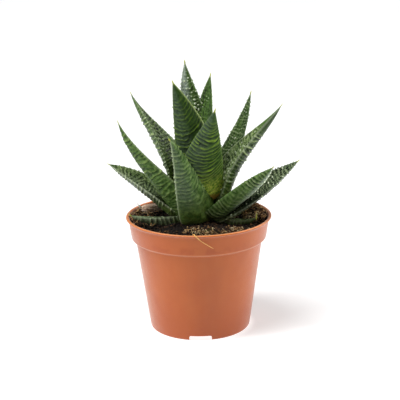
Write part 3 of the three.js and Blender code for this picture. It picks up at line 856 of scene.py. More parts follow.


# %% Hollows, furrows and their painted shade, and tubercles of one blade
def hollows_and_shade_of(grid, look, random):
    """Painted shade in the hollows between the net's lines on the inner face, and a painted shadow in the furrow under
    each ridge on the outer one.
    """
    cell = np.floor(grid.phase)
    cell_bead = beads_along(grid.x, cell, random)
    deep = one_each(cell * 37 + np.floor(cell_bead), random, 0, 1.35)
    pit = np.exp(-(((grid.phase - cell - 0.5) / 0.31) ** 2) - (((cell_bead % 1 - 0.5) / 0.34) ** 2))
    pit = np.clip(1.8 * pit * deep, 0, 1) * look["pits"]
    # The painted shadow just under each ridge, as if lit from above.
    painted_furrow_shadow = np.exp(-(((grid.phase - cell - 0.58) / 0.19) ** 2)) * look["furrow"] * (0.5 + 0.7 * grid.patch)
    painted_furrow_shadow = painted_furrow_shadow * grid.bold * (0.4 + 0.6 * eased(grid.t, 0.1, 0.35))
    return np.where(grid.is_inner, pit, painted_furrow_shadow) * grid.fade * eased(1 - np.abs(grid.s), 0.04, 0.14)


def tubercles_of(grid, look, random, width):
    """The radius of the dome that stands at each point, in mm, and 0 where there is none."""
    size = grid.fade * np.clip(0.5 + 0.5 * grid.half / (width / 2), 0, 1) * look["dome"]
    chance = np.where(grid.is_inner, look["inner"], look["outer"] * eased(np.abs(grid.s), 0.2, 0.9) * 2) + 0 * grid.x
    chance = chance * np.clip(grid.patch * 1.2, 0, 1)
    off_ridge = (grid.phase - grid.number) * look["step"]
    domes = dome_places(off_ridge, grid.number, grid.bead_count, random, chance, size)
    domes[:, (np.abs(grid.s) > 0.86)[0]] = 0
    for column in (0, columns(width).size - 1):
        margin_domes(domes, grid.phase, grid.number, column, random, size, look["beaded"])
    domes[domes < SMALLEST_DOME] = 0
    return domes


print("ridges, hollows and tubercles ready")


# %% Make a blade
AWN = 1.3
AWN_ROWS = 40


def make_blade(leaf, seed):
    """The blade as a mesh object with its attributes, ready for its tubercles."""
    look = {**PLAIN_LOOK, **LOOKS.get(leaf[0], {})}
    random = np.random.default_rng(seed)
    spine = spine_of(leaf)
    width, depth = leaf[3]
    grid = ridges_over(leaf, look, spine[3], random)
    s, t, half, is_inner = grid.s, grid.t, grid.half, grid.is_inner
    pit = hollows_and_shade_of(grid, look, random)
    paint = grid.crest ** 1.3 * np.clip(np.where(is_inner, 2.6, 1.6) * grid.power, 0, 1)
    paint = np.maximum(paint, is_inner * look["cover"] * grid.fade * grid.patch) * (1 - pit)
    toothed = 1 + 1.2 * np.abs(s) ** 3 * look["pale"]
    lift = look["height"] * grid.crest * np.where(is_inner, grid.power, (grid.power + grid.clear) / 2) * toothed
    lift = lift - 0.3 * pit + 0.1 * waver(grid.x, grid.y, random, 2.6, 1.2) * grid.fade
    domes = tubercles_of(grid, look, random, width)

    centre, across, inward = frames_at(leaf, spine, t)
    outward_share = np.clip(1 - np.abs(s) ** 3, 0, 1)
    fullness = (half / (width / 2)) ** 0.9
    drop = np.where(is_inner, -CHANNEL * (1 - s * s) * half, -belly(s) * depth * fullness)
    drop = drop + np.where(is_inner, 1, -1) * outward_share * lift
    spread = grid.x + np.sign(s) * (1 - outward_share) * lift
    points = centre + spread[..., None] * across + drop[..., None] * inward

    # The pale margin line, which is a painted highlight where it is moved in from the margin, and the grey of bloom
    # and of a painted sheen on one side.
    edge_at = look["edge_at"][0] + look["edge_at"][1] * t
    rim = np.exp(-(((edge_at - np.abs(s)) * half / 0.42) ** 2)) * np.where(s < 0, *look["edge"])
    bloomed = 1 - eased(look["bloom_side"] * s, -0.45, 0.4)
    bloomed = bloomed * eased(t, look["bloom_from"], look["bloom_from"] + 0.28)
    return blade_mesh(leaf, points, across, look["awn"], {
        "crest": grid.crest * grid.power, "paint": paint, "pit": pit, "rim": rim, "along": t, "across": s,
        "inner": is_inner, "dome": domes * MM, "bloom": look["bloom"] * bloomed,
        "fresh": look["fresh"] * (1 - 0.7 * bloomed), "young": look["young"] * (1 - eased(t, 0.05, 0.4)),
        **{title: look[title] for title in ("foot", "pale", "line", "streak")}})


def blade_mesh(leaf, points, across, awn, kept):
    """Faces over the grid, closed by a fan at the base and a fine awn at the tip."""
    count = points.shape[1]
    grid = np.arange(points.shape[0] * count).reshape(-1, count)
    after = np.roll(grid, -1, axis=1)
    quads = np.stack([grid[:-1], after[:-1], after[1:], grid[1:]], axis=-1).reshape(-1, 4)
    flat = points.reshape(-1, 3)
    tip = len(flat)
    caps = [[int(after[-1, k]), tip, int(grid[-1, k])] for k in range(count)]
    bottom = [[int(grid[0, k]), tip + 1, int(after[0, k])] for k in range(count)]
    end = np.array(leaf[2], float)
    end = end + (AWN * unit(end - points[-AWN_ROWS].mean(axis=0)) if awn is None else np.array(awn, float))
    flat = np.vstack([flat, end, points[0].mean(axis=0)])
    attributes = {}
    for title, values in kept.items():
        spread = np.broadcast_to(np.asarray(values, float), points.shape[:2])
        attributes[title] = np.append(spread.ravel(), [0, 0])
    attributes["along"][-2] = 1
    attributes["side"] = np.vstack([across.reshape(-1, 3), across[-1, 0], across[0, 0]])
    return mesh_object("leaf_" + leaf[0] + "_detailed", flat, quads.tolist() + caps + bottom, attributes)


print("blade maker ready")

# %% [markdown]
# ### Tubercles
# On the real leaf they are small waxy warts, paler than the skin and longer across the blade than
# along it. The tree turns each marked point into one dome, upright on the skin with its long
# side across, joins all of them to the blade, and gives only the domes the wax.

# %% Tree: tuberculate leaf
tuberculate, wire, given, taken = new_tree(
    "tuberculate", "GeometryNodeTree",
    [("Geometry", SHAPE, None), ("Dome Segments", WHOLE, 7), ("Dome Rings", WHOLE, 4),
     ("Dome Length", FLOAT, 1.5), ("Dome Flatness", FLOAT, 0.65), ("Skin", STUFF, None), ("Wax", STUFF, None)],
    [("Geometry", SHAPE)])
radius = wire.named("dome")
stood = wire.store(given["Geometry"], "up", wire.geo("InputNormal"), "FLOAT_VECTOR")
spots = wire.geo("MeshToPoints", {"Mesh": stood, "Selection": wire.math("GREATER_THAN", radius, 0.00001)})
side, up = wire.named("side", "FLOAT_VECTOR"), wire.named("up", "FLOAT_VECTOR")
lengthwise = wire.add("FunctionNodeAlignRotationToVector", {"Vector": side}, axis="X")
upright = wire.add("FunctionNodeAlignRotationToVector", {"Rotation": lengthwise.outputs[0], "Vector": up}, axis="Z")
dome = wire.geo("MeshUVSphere", {"Segments": given["Dome Segments"], "Rings": given["Dome Rings"], "Radius": 1.0})
flatter = wire.xyz(given["Dome Length"], 1.0, given["Dome Flatness"])
squat = wire.geo("Transform", {"Geometry": dome, "Scale": flatter})
waxed = wire.store(wire.geo("SetShadeSmooth", {0: squat}), "waxed", True, "BOOLEAN", "FACE")
warts = wire.geo("InstanceOnPoints", {
    "Points": spots, "Instance": waxed, "Rotation": upright.outputs[0], "Scale": radius})
both = wire.join(warts, wire.geo("SetShadeSmooth", {0: given["Geometry"]}))
wire.finish(taken, both, (given["Skin"], True), (given["Wax"], wire.named("waxed", "BOOLEAN")))
print("tubercle tree:", len(tuberculate.nodes), "nodes")

# %% [markdown]
# ### Skin and wax
# The skin is dark green, darkest in the hollows and furrows with painted shade, and pale or
# yellow-green on the ridge crests, freckled in between, with darker patches of painted shade for
# dents. It is yellow and then brownish at a young base, painted lighter there as painted light,
# grey on some sides with bloom and a painted sheen, which on inner_back is a painted glossy
# reflection, darkened near the soil as painted shade, and horny yellow at the very tip, with a
# pale line along the margins that is a painted highlight where it is moved in. The grid's own
# attributes place all of that, so the colours follow the relief exactly. Wax for the domes is a
# pale grey-green, with a little of the same mottling.

# %% Finish: leaf skin
skin, wire, shader, place = new_finish("leaf_skin", IOR=1.2, Specular_IOR_Level=0.5)
along, across, inner, crest, rim, pale, fresh, line, young, bloom = (wire.attribute(title) for title in (
    "along", "across", "inner", "crest", "rim", "pale", "fresh", "line", "young", "bloom"))
cloudy = mottled(wire, place, 0.009, 0.1)
freckled = mottled(wire, place, 0.001, 0.5)
dark = wire.mix(inner, rgb(8, 18, 5), rgb(12, 26, 7))
light = wire.mix(inner, rgb(46, 78, 22), rgb(50, 82, 24))
# How light the green is; on the two small leaves this is painted light.
freshness = wire.times(wire.plus(fresh, wire.times(cloudy, 0.45)), 0.8)
blotches = wire.times(mottled(wire, place, 0.0024, 0.45), fresh)
# Darker patches of painted shade, as if from dents.
elsewhere = wire.add("ShaderNodeMapping", {"Vector": place, "Location": (0.05, 0.02, 0)}).outputs[0]
painted_dent_shade = wire.times(mottled(wire, elsewhere, 0.004, 0.4), wire.math("MINIMUM", fresh, 0.9))
green = wire.coats(
    wire.mix(freshness, dark, light),
    (freckled, 0.5, wire.mix(inner, rgb(40, 64, 22), rgb(76, 104, 48))),
    (blotches, 0.6, rgb(106, 136, 70)),
    (painted_dent_shade, 0.5, rgb(24, 46, 18)))
print("greens ready:", len(skin.node_tree.nodes), "nodes so far")

# %% Leaf skin: stripes, young base, and bloom with painted sheen
streaky = mottled(wire, wire.xyz(across, wire.times(along, 0.9), 0.0), 0.2, 0.5)
lengthwise = wire.times(streaky, wire.plus(wire.times(inner, 0.45), 0.08))
lengthwise = wire.times(lengthwise, wire.attribute("streak"))
shoulder = wire.times(crest, wire.plus(wire.times(line, 0.4), 0.2))
dotted = mottled(wire, place, 0.0017, 0.6)
stained = wire.span(young, 0.86, 0.99)
# Grey of bloom and of a painted sheen of reflected light; on inner_back a painted glossy reflection.
greyed = wire.times(bloom, wire.plus(0.25, wire.times(freckled, 0.35)))
green = wire.coats(
    green,
    (lengthwise, 1, rgb(84, 124, 40)),
    (shoulder, 1, wire.mix(inner, rgb(58, 86, 24), rgb(84, 112, 50))),
    # The young base is yellow, and painted lighter too, as painted light, since it lies in shade.
    (young, 1, wire.mix(dotted, rgb(96, 134, 32), rgb(206, 216, 92))),
    (stained, 0.85, rgb(164, 112, 56)),
    (greyed, 1, wire.mix(pale, rgb(78, 92, 78), rgb(166, 180, 166))))
print("bloom ready:", len(skin.node_tree.nodes), "nodes so far")

# %% Leaf skin: ridge lines, margins, painted shade at the foot, and tip
painted = wire.times(wire.attribute("paint"), line)
# Painted shade: the blade darkens towards the soil, less at a young base.
low_down = wire.times(wire.span(wire.part_of(place, "Z"), 0.094, 0.069), wire.times(wire.attribute("foot"), 0.66))
shaded_foot = wire.times(low_down, wire.math("SUBTRACT", 1.0, young))
horny = wire.span(along, 0.96, 1.0)
green = wire.coats(
    green,
    (painted, 1, wire.mix(pale, rgb(128, 156, 50), rgb(196, 208, 162))),
    # The margin line, a painted highlight where it is moved in, and painted shade in the hollows and furrows.
    (rim, 1, wire.mix(pale, rgb(140, 156, 92), rgb(228, 236, 212))),
    (wire.attribute("pit"), 1, rgb(9, 20, 7)),
    (shaded_foot, 1, rgb(17, 27, 9)),
    (horny, 0.9, rgb(166, 170, 66)))
soiled = use_group(wire, peat_dust, Place=place, Clean=green, Full_Height=0.065, End_Height=0.0705, Amount=0.7)
wire.feed(shader.inputs["Base Color"], soiled["Color"])
fine = grained(wire, place, 0.00022, 0.0011, 0.6)
uneven = wire.plus(fine, wire.times(crest, 0.2))
wire.feed(shader.inputs["Roughness"], wire.span(uneven, 0.3, 1.0, 0.28, 0.52))
relief(wire, shader, fine, 0.0003)
print("leaf skin:", len(skin.node_tree.nodes), "nodes")

# %% Finish: tubercle wax
wax, wire, shader, place = new_finish("tubercle_wax", IOR=1.45, Specular_IOR_Level=0.45)
cloudy = mottled(wire, place, 0.003, 0.2)
tone = wire.coats(
    wire.mix(wire.attribute("pale"), rgb(90, 116, 48), rgb(214, 222, 194)),
    (cloudy, 0.7, rgb(96, 120, 66)),
    (wire.attribute("rim"), 0.4, rgb(160, 176, 128)))
dry_skin(wire, shader, place, tone, (0.0002, 0.0009, 0.5), (0.22, 0.4), 0.00006, low=0.3)
print("wax:", len(wax.node_tree.nodes), "nodes")

# %% Grow every leaf
FIRST_SEED = 100
leaf_total = 0
for index, leaf in enumerate(LEAVES):
    blade = make_blade(leaf, FIRST_SEED + index)
    grown(blade, tuberculate, Skin=skin, Wax=wax)
    in_place_of(blade, "leaf", "leaf_" + leaf[0])
    leaf_total += triangles(blade)
print("all leaves:", leaf_total, "triangles")

# %% [markdown]
# ## The soil
# Nursery soil is peat with bark, coir and grit: nearly black, crumbly, mounded at the plant and
# lower at the wall. Here it is heaped at the left and right walls, dipped under the two small
# leaves, and painted darker at the left as painted shade. One closed body fills the pot, its top
# roughened by layered noise. Loose crumbs are a repeat, so Geometry Nodes scatter one lumpy shape
# over the top at random sizes and angles from a fixed seed, each with a random tone of its own.

# %% The form of the soil
SOIL_CROWN = 65.2
SOIL_EDGE = 61.4
SOIL_WALL = 38.6
COLLAR_RADIUS = 39.4
SOIL_BELOW = [(0, 1.55), (11, 1.55), (12.6, 4.55), (28.1, 4.55), (35.25, 53.8), (37.7, 55.6)]
# Heaps at the wall, each a height in mm, how narrow it is and its direction in degrees, and dips
# under the small leaves, each a depth, a middle and a half size in mm.
HEAPS = [(4.2, 4, 12), (5.2, 2.2, 182)]
DIPS = [(2.4, (-25, -15), (12, 7)), (1.2, (22, -16), (8, 5))]
LEAN, LEAN_TO = 0.6, math.radians(165)


def soil_height(radius, angle):
    share = radius / COLLAR_RADIUS
    x, y = radius * np.cos(angle), radius * np.sin(angle)
    heaped = sum(height * np.exp(narrow * (np.cos(angle - math.radians(turn)) - 1)) for height, narrow, turn in HEAPS)
    dip = sum(depth * np.exp(-((x - at[0]) / size[0]) ** 2 - ((y - at[1]) / size[1]) ** 2) for depth, at, size in DIPS)
    edge = SOIL_EDGE - LEAN * np.cos(angle - LEAN_TO) - SOIL_CROWN
    return SOIL_CROWN - dip + edge * share ** 2 + heaped * share ** 4


def crumble(x, y):
    """Height of the crumbs at one place, from three sizes of noise, in millimetres."""
    lumps = noise.noise(Vector((0.13 * x, 0.13 * y, 3)))
    grit = noise.noise(Vector((0.42 * x, 0.42 * y, 8)))
    dust = noise.noise(Vector((1.2 * x, 1.2 * y, 15)))
    return 0.75 * lumps + 0.75 * grit + 0.35 * dust


print("soil at the middle of the front wall, mm:", round(float(soil_height(SOIL_WALL, -math.pi / 2)), 1))


# %% The body of soil
def make_soil(rings=84, sides=216):
    """A closed body: the middle of its underside, rings up the wall, rings over the top."""
    angles = np.linspace(0, 2 * np.pi, sides, endpoint=False)
    points = [(0, 0, SOIL_BELOW[0][1])]
    for radius, height in SOIL_BELOW[1:]:
        points += [(radius * math.cos(a), radius * math.sin(a), height) for a in angles]
    for ring in range(rings):
        radius = SOIL_WALL * (1 - ring / rings)
        for a in angles:
            top = soil_height(radius, a)
            reach = radius + (radius / SOIL_WALL) ** 12 * (0.7 + 0.18 * max(0, top - SOIL_EDGE))
            x, y = reach * math.cos(a), reach * math.sin(a)
            points.append((x, y, top + crumble(x, y)))
    points.append((0, 0, SOIL_CROWN + crumble(0, 0)))
    layers = len(SOIL_BELOW) - 1 + rings
    faces = []
    for k in range(sides):
        n = (k + 1) % sides
        faces.append([0, 1 + n, 1 + k])
        last = 1 + (layers - 1) * sides
        faces.append([last + k, last + n, len(points) - 1])
        for layer in range(layers - 1):
            a = 1 + layer * sides
            faces.append([a + k, a + n, a + sides + n, a + sides + k])
    on_top = [0.0] * (1 + (len(SOIL_BELOW) - 1) * sides) + [1.0] * (rings * sides + 1)
    return mesh_object("soil_mound", points, faces, {"top": on_top})


soil = make_soil()
soil.data.shade_smooth()
print("soil points:", len(soil.data.vertices))

# %% Finish: peat
# The peat is painted darker towards the left, as painted shade, between these two places across the pot, in metres.
SHADED_SPAN = 0.006, -0.014
peat, wire, shader, place = new_finish("peat", IOR=1.4, Specular_IOR_Level=0.25)
clumps = mottled(wire, place, 0.004, 0.2)
bits = mottled(wire, place, 0.0011, 0.6)
shaded_left = wire.span(wire.part_of(place, "X"), *SHADED_SPAN)
tone = wire.coats(
    wire.mix(clumps, rgb(12, 9, 7), rgb(32, 23, 16)), (bits, 0.5, rgb(58, 42, 28)), (shaded_left, 0.6, rgb(9, 7, 5)))
dry_skin(wire, shader, place, tone, (0.0004, 0.0018, 0.6), (0.78, 0.98), 0.0007)
soil.data.materials.append(peat)
in_place_of(soil, "soil", "soil")

# %% Finish: loose bits
# A random number kept on every bit runs along this ramp: most are dark, a few tan or ochre.
loose, wire, shader, place = new_finish("loose_bits", IOR=1.4, Specular_IOR_Level=0.3)
tones = wire.add("ShaderNodeValToRGB", {0: wire.attribute("tone")})
stops = [(0.0, rgb(18, 13, 9)), (0.35, rgb(40, 28, 19)), (0.55, rgb(88, 62, 40)), (0.7, rgb(144, 108, 68)),
         (0.86, rgb(188, 154, 102)), (1.0, rgb(222, 204, 164))]
while len(tones.color_ramp.elements) < len(stops):
    tones.color_ramp.elements.new(0.5)
for element, (position, colour) in zip(tones.color_ramp.elements, stops):
    element.position = position
    element.color = colour
spotted = mottled(wire, place, 0.0008, 0.3)
# The darker bits take the same painted shade at the left.
shaded_left = wire.span(wire.part_of(place, "X"), *SHADED_SPAN)
dull = wire.times(wire.span(wire.attribute("tone"), 0.75, 0.35), 0.7)
tone = wire.coats(
    tones.outputs[0], (spotted, 0.3, rgb(34, 25, 17)), (wire.times(shaded_left, dull), 1, rgb(12, 9, 6)))
dry_skin(wire, shader, place, tone, (0.0002, 0.0008, 0.5), depth=0.00025)
print("loose bits:", len(stops), "tones")

# %% Tree: scattered bits
scatter, wire, given, taken = new_tree(
    "scatter_bits", "GeometryNodeTree",
    [("Geometry", SHAPE, None), ("Density", FLOAT, 600000.0), ("Smallest", FLOAT, 0.0003),
     ("Largest", FLOAT, 0.0011), ("Length", FLOAT, 1.0), ("Darkest", FLOAT, 0.0), ("Palest", FLOAT, 1.0),
     ("Seed", WHOLE, 4), ("Material", STUFF, None)],
    [("Geometry", SHAPE)])
thrown = wire.geo("DistributePointsOnFaces", {
    "Mesh": given["Geometry"], "Density": wire.times(given["Density"], wire.named("top")), "Seed": given["Seed"]})


def random_number(low, high, offset):
    """A random number for each point, from a low to a high value."""
    seed = wire.plus(given["Seed"], float(offset))
    limits = {"Min_001": low, "Max_001": high, "Seed": seed}
    return wire.typed("FunctionNodeRandomValue", "FLOAT", limits, "Value_001")


rarely_pale = wire.math("POWER", random_number(0.0, 1.0, 1), 1.6)
tone = wire.add("ShaderNodeMapRange", {
    "Value": rarely_pale, "To Min": given["Darkest"], "To Max": given["Palest"]})
toned = wire.store(thrown, "tone", tone.outputs[0])
ball = wire.geo("MeshUVSphere", {"Segments": 6, "Rings": 5, "Radius": 1.0})
shift = wire.add("ShaderNodeTexNoise", {"Scale": 1.3, "Detail": 1.0})
offset = wire.add("ShaderNodeVectorMath", {0: shift.outputs["Color"], 1: (0.5, 0.5, 0.5)}, operation="SUBTRACT")
stretch = wire.add("ShaderNodeVectorMath", {0: offset.outputs[0], 1: (1.5, 1.5, 1.5)}, operation="MULTIPLY")
moved = wire.geo("SetPosition", {"Geometry": ball, "Offset": stretch.outputs[0]})
lump = wire.geo("SetShadeSmooth", {0: moved})
size = random_number(given["Smallest"], given["Largest"], 2)
shape = wire.xyz(wire.times(size, given["Length"]), size, wire.times(size, random_number(0.45, 0.9, 3)))
spin = wire.xyz(random_number(-0.7, 0.7, 4), random_number(-0.7, 0.7, 5), random_number(0.0, 6.28, 6))
laid = wire.geo("InstanceOnPoints", {"Points": toned, "Instance": lump, "Rotation": spin, "Scale": shape})
wire.finish(taken, laid, (given["Material"], True))
print("scatter tree:", len(scatter.nodes), "nodes")

# %% Scatter crumbs over the soil
def patch_of_soil(name, share):
    """A copy of the soil whose attribute top is the share of bits wanted at each point. No bits
    are wanted at the wall, where they would come through it."""
    patch = mesh_object(name, [], [])
    patch.data = soil.data.copy()
    patch.data.materials.clear()
    weights = []
    for vertex, old in zip(patch.data.vertices, patch.data.attributes["top"].data):
        x, y = vertex.co.x / MM, vertex.co.y / MM
        reach = SOIL_WALL - 0.6 + 0.25 * max(0, vertex.co.z / MM - SOIL_EDGE)
        weights.append(old.value * (math.hypot(x, y) < reach) * share(x, y))
    patch.data.attributes["top"].data.foreach_set("value", weights)
    return patch


def near(x, y, middle, size):
    """1 in the middle of an oval patch, falling to 0 outside it."""
    away = ((x - middle[0]) / size[0]) ** 2 + ((y - middle[1]) / size[1]) ** 2
    return math.exp(-away)


def strewn(name, slot, patches, **given):
    """Bits scattered over patches of the soil, each a middle and a half size in mm."""
    bits = patch_of_soil(name, lambda x, y: max(near(x, y, *patch) for patch in patches))
    grown(bits, scatter, **given)
    in_place_of(bits, slot)


STEM_CLEARANCE = 9
crumbs = patch_of_soil("soil_crumbs", lambda x, y: 1.0 if math.hypot(x, y - PLANT_Y) > STEM_CLEARANCE else 0.0)
grown(crumbs, scatter, Density=620000.0, Smallest=0.0003, Largest=0.0012, Palest=0.6, Seed=4, Material=loose)
in_place_of(crumbs, "soil")

# %% [markdown]
# ## Coir and moss
# Tan coir lies in patches at the front and right: short bits and broader pale flakes, which are
# the same scatter again with longer, paler shapes. A little green moss grows between them, as
# very small, dense tufts with a finish of their own.

# %% Coir at the front and right
COIR_PATCHES = [((4, -28), (7, 3)), ((15, -26.5), (5, 4.5)), ((-3, -25), (4, 3)), ((22, -22), (3, 2.5)),
                ((32, 4), (5, 9)), ((29, 19), (5, 6))]
FRONT_PATCHES = COIR_PATCHES[:4]
strewn("coir_bits", "soil", COIR_PATCHES, Density=330000.0, Smallest=0.00025, Largest=0.0007, Length=2.0,
       Darkest=0.2, Palest=1.0, Seed=21, Material=loose)
strewn("coir_flakes", "soil", FRONT_PATCHES, Density=520000.0, Smallest=0.0004, Largest=0.0009, Length=2.0,
       Darkest=0.5, Palest=1.0, Seed=57, Material=loose)

# %% Moss
MOSS_PATCHES = [((2, -28), (3.5, 2.2)), ((12, -29), (3, 2)), ((7, -23), (3, 2)), ((18, -25), (2, 2))]
green_moss, wire, shader, place = new_finish("green_moss", IOR=1.4, Specular_IOR_Level=0.2)
tone = wire.mix(mottled(wire, place, 0.0012, 0.4), rgb(36, 48, 16), rgb(92, 98, 36))
dry_skin(wire, shader, place, tone, (0.00015, 0.0006, 0.4), (0.75, 0.95))
strewn("moss_tufts", "soil", MOSS_PATCHES, Density=2500000.0, Smallest=0.0002, Largest=0.0005, Length=1.6,
       Seed=33, Material=green_moss)

# %% [markdown]
# ## Fibres and straw
# Curled coir fibres lie on the soil, tangled in heaps at the walls and strewn thinly elsewhere,
# and one dry straw hangs over the rim. Each is a thin rod that follows a path, so its path is
# drawn as a line of points that carry a radius, and one Geometry Nodes tree sweeps a small round
# section along all the lines of an object at once.

# %% Tree: swept rod
swept_rod, wire, given, taken = new_tree(
    "swept_rod", "GeometryNodeTree",
    [("Geometry", SHAPE, None), ("Sides", WHOLE, 6), ("Flatness", FLOAT, 1.0), ("Material", STUFF, None)],
    [("Geometry", SHAPE)])
path = wire.geo("MeshToCurve", {0: given["Geometry"]})
ring = wire.geo("CurvePrimitiveCircle", {"Resolution": given["Sides"], "Radius": 1.0})
section = wire.geo("Transform", {"Geometry": ring, "Scale": wire.xyz(1.0, given["Flatness"], 1.0)})
tube = wire.geo("CurveToMesh", {
    "Curve": path, "Profile Curve": section, "Scale": wire.named("radius"), "Fill Caps": True})
wire.finish(taken, wire.geo("SetShadeSmooth", {0: tube}), (given["Material"], True))
print("rod tree:", len(swept_rod.nodes), "nodes")


# %% Lines for rods
def flowing(points, steps=8):
    """A smooth line through a few points (Catmull-Rom), in millimetres."""
    points = np.asarray(points, float)
    ends = np.vstack([2 * points[0] - points[1], points, 2 * points[-1] - points[-2]])
    line = []
    for a, b, c, d in zip(ends, ends[1:], ends[2:], ends[3:]):
        for share in np.linspace(0, 1, steps, endpoint=False):
            line.append(0.5 * (2 * b + (c - a) * share + (2 * a - 5 * b + 4 * c - d) * share ** 2
                               + (3 * b - a - 3 * c + d) * share ** 3))
    return np.array(line + [points[-1]])


def rods(name, lines, radii, tones, sides, material, flatness=1.0):
    """One object of rods. radii are functions of the share along a line, in millimetres."""
    points, edges, radius, tone = [], [], [], []
    for line, thickness, shade in zip(lines, radii, tones):
        start = len(points)
        points += line.tolist()
        edges += [(start + k, start + k + 1) for k in range(len(line) - 1)]
        radius += [thickness(k / (len(line) - 1)) * MM for k in range(len(line))]
        tone += [shade] * len(line)
    thing = mesh_object(name, points, [], {"radius": radius, "tone": tone}, edges)
    grown(thing, swept_rod, Sides=sides, Flatness=flatness, Material=material)
    return thing


def tapering(thick, thin=0.25):
    """Full thickness in the middle of a fibre, thin at both ends."""
    return lambda share: thick * (thin + (1 - thin) * math.sin(math.pi * min(max(share, 0.02), 0.98)) ** 0.6)


print("points on a line through three:", len(flowing([(0, 0, 0), (1, 0, 0), (1, 1, 0)])))


# %% Curled fibres on the soil
CURL_STEPS = 9
FIBRES_FROM = 8
HEAP_AT, HEAP_HALF = 35, 9


def curl(x, y, random, size, lift):
    """A bent fibre that lies on the soil round a place, with its middle a little raised."""
    heading, bend = random.uniform(0, 2 * np.pi), random.uniform(1.2, 5) * random.choice([-1, 1])
    line = [np.array([x, y])]
    for _ in range(CURL_STEPS):
        heading += bend / CURL_STEPS * random.uniform(0.3, 1.7)
        line.append(line[-1] + size / CURL_STEPS * np.array([math.cos(heading), math.sin(heading)]))
    line = np.array(line) + np.array([x, y]) - np.mean(line, axis=0)
    height = soil_height(np.hypot(line[:, 0], line[:, 1]), np.arctan2(line[:, 1], line[:, 0]))
    share = np.linspace(0, 1, len(line))
    arch = lift * np.sin(np.pi * share) + random.uniform(0.1, 0.7)
    return np.column_stack([line, height + arch])


def tangle(name, random, number, place, lift, radii, tones, sizes):
    """Many bent fibres. place gives a spot and how high it is heaped there, in mm."""
    lines, thickness, shades = [], [], []
    while len(lines) < number:
        x, y, heap = place(random)
        line = curl(x, y, random, random.uniform(*sizes), random.uniform(*lift))
        line[:, 2] += random.uniform(0, 1) * heap
        wall = SOIL_WALL + 0.2 * max(0, line[:, 2].min() - SOIL_EDGE)
        if math.hypot(x, y) <= FIBRES_FROM or np.hypot(line[:, 0], line[:, 1]).max() > wall:
            continue  # a fibre in the stem or through the wall is drawn again
        lines.append(line)
        thickness.append(tapering(random.uniform(*radii)))
        shades.append(tones[0] + (tones[1] - tones[0]) * random.uniform() ** tones[2])
    fibres = rods(name, lines, thickness, shades, 4, loose)
    in_place_of(fibres, "soil")


def front_place(random):
    """A spot in one of the patches of coir at the front."""
    middle, spread = FRONT_PATCHES[random.integers(len(FRONT_PATCHES))]
    x, y = random.normal(middle, np.array(spread) * 0.75)
    return x, y, 1.2


def beside_wall(low, high, heap):
    """Spots along the wall between two angles in degrees."""
    def place(random):
        angle, out = math.radians(random.uniform(low, high)), random.uniform(27, SOIL_WALL)
        return out * math.cos(angle), out * math.sin(angle), heap * (1 - ((out - HEAP_AT) / HEAP_HALF) ** 2)
    return place


print("points on a fibre:", CURL_STEPS + 1)

# %% Tangles of coir
# Name, seed, number, places, how far a fibre arches, radii, tones from, to and how rarely pale,
# and lengths, in mm.
TANGLES = [
    ("coir_fibres", 12, 300, front_place, (0.3, 1.6), (0.13, 0.26), (0.2, 1.0, 1.3), (1, 4)),
    ("coir_heap_right", 31, 340, beside_wall(-14, 54, 2), (0.6, 2.6), (0.16, 0.34), (0.35, 1.0, 1.1), (3, 8)),
    ("coir_heap_left", 43, 360, beside_wall(138, 200, 0.8), (0.4, 1.6), (0.14, 0.32), (0.2, 1.0, 1.4), (2, 6)),
    ("coir_strays", 58, 110, beside_wall(0, 360, 0), (0.2, 0.5), (0.12, 0.26), (0.2, 0.8, 1.3), (2, 6)),
]
for name, seed, *rest in TANGLES:
    tangle(name, np.random.default_rng(seed), *rest)

# %% Finish: straw
straw_skin, wire, shader, place = new_finish("dry_straw", IOR=1.45, Specular_IOR_Level=0.35)
tone = wire.mix(mottled(wire, place, 0.0025, 0.3), rgb(222, 178, 104), rgb(196, 142, 74))
dry_skin(wire, shader, place, tone, (0.0001, 0.0009, 0.5), (0.5, 0.75), 0.0001)
print("straw:", len(straw_skin.node_tree.nodes), "nodes")

# %% The straw over the rim
STRAW_ROUTE = [(-4, -35, 64.4), (-3.2, -38.6, 66.6), (-2.7, -41.2, 67.75), (-2, -42.95, 67.3),
               (0.6, -42.6, 64.6), (4.2, -41.8, 61.8), (7.9, -41.45, 59.4)]


def straw_radius(share):
    """Thickest at a node before the middle, and thinner towards the free end."""
    return 0.3 + 0.16 * math.exp(-(((share - 0.45) / 0.2) ** 2)) - 0.16 * share


straw = rods("hanging_straw", [flowing(STRAW_ROUTE, 10)], [straw_radius], [0.9], 8, straw_skin, 0.7)
in_place_of(straw, "straw", "straw")

# %% [markdown]
# ## The chip of bark
# A lump of composted pine bark: layered like a pastry, cracked across the layers, pinkish brown
# and bleached pale, and painted paler still, as painted light, since the leaves above shade it.
# It starts as an even ball of triangles. Each point is moved by noise that is squeezed along one
# axis, which gives the layers, and then the ball is stretched, turned and set down at its CAD
# place. A thin curl and two splinters of fresh, pale wood have come off beside it, and small
# shreds of red bark lie on the soil at the left and right.

# %% Finish: bark
bark, wire, shader, place = new_finish("pine_bark", IOR=1.4, Specular_IOR_Level=0.25)
turned_place = wire.add("ShaderNodeMapping", {
    "Vector": place, "Rotation": (0, 0, -0.42), "Scale": (0.35, 0.8, 2.4)}).outputs[0]
# These tones are paler than the chip's own colour, as painted light, since the leaves above shade it.
tone = wire.coats(
    wire.mix(mottled(wire, turned_place, 0.0016, 0.35), rgb(220, 186, 158), rgb(248, 230, 206)),
    (mottled(wire, place, 0.0032, 0.3), 0.45, rgb(222, 176, 150)),
    (mottled(wire, place, 0.0009, 0.7), 0.25, rgb(112, 72, 56)))
dry_skin(wire, shader, turned_place, tone, (0.0003, 0.0012, 0.5), depth=0.0005)
print("pine bark:", len(bark.node_tree.nodes), "nodes")

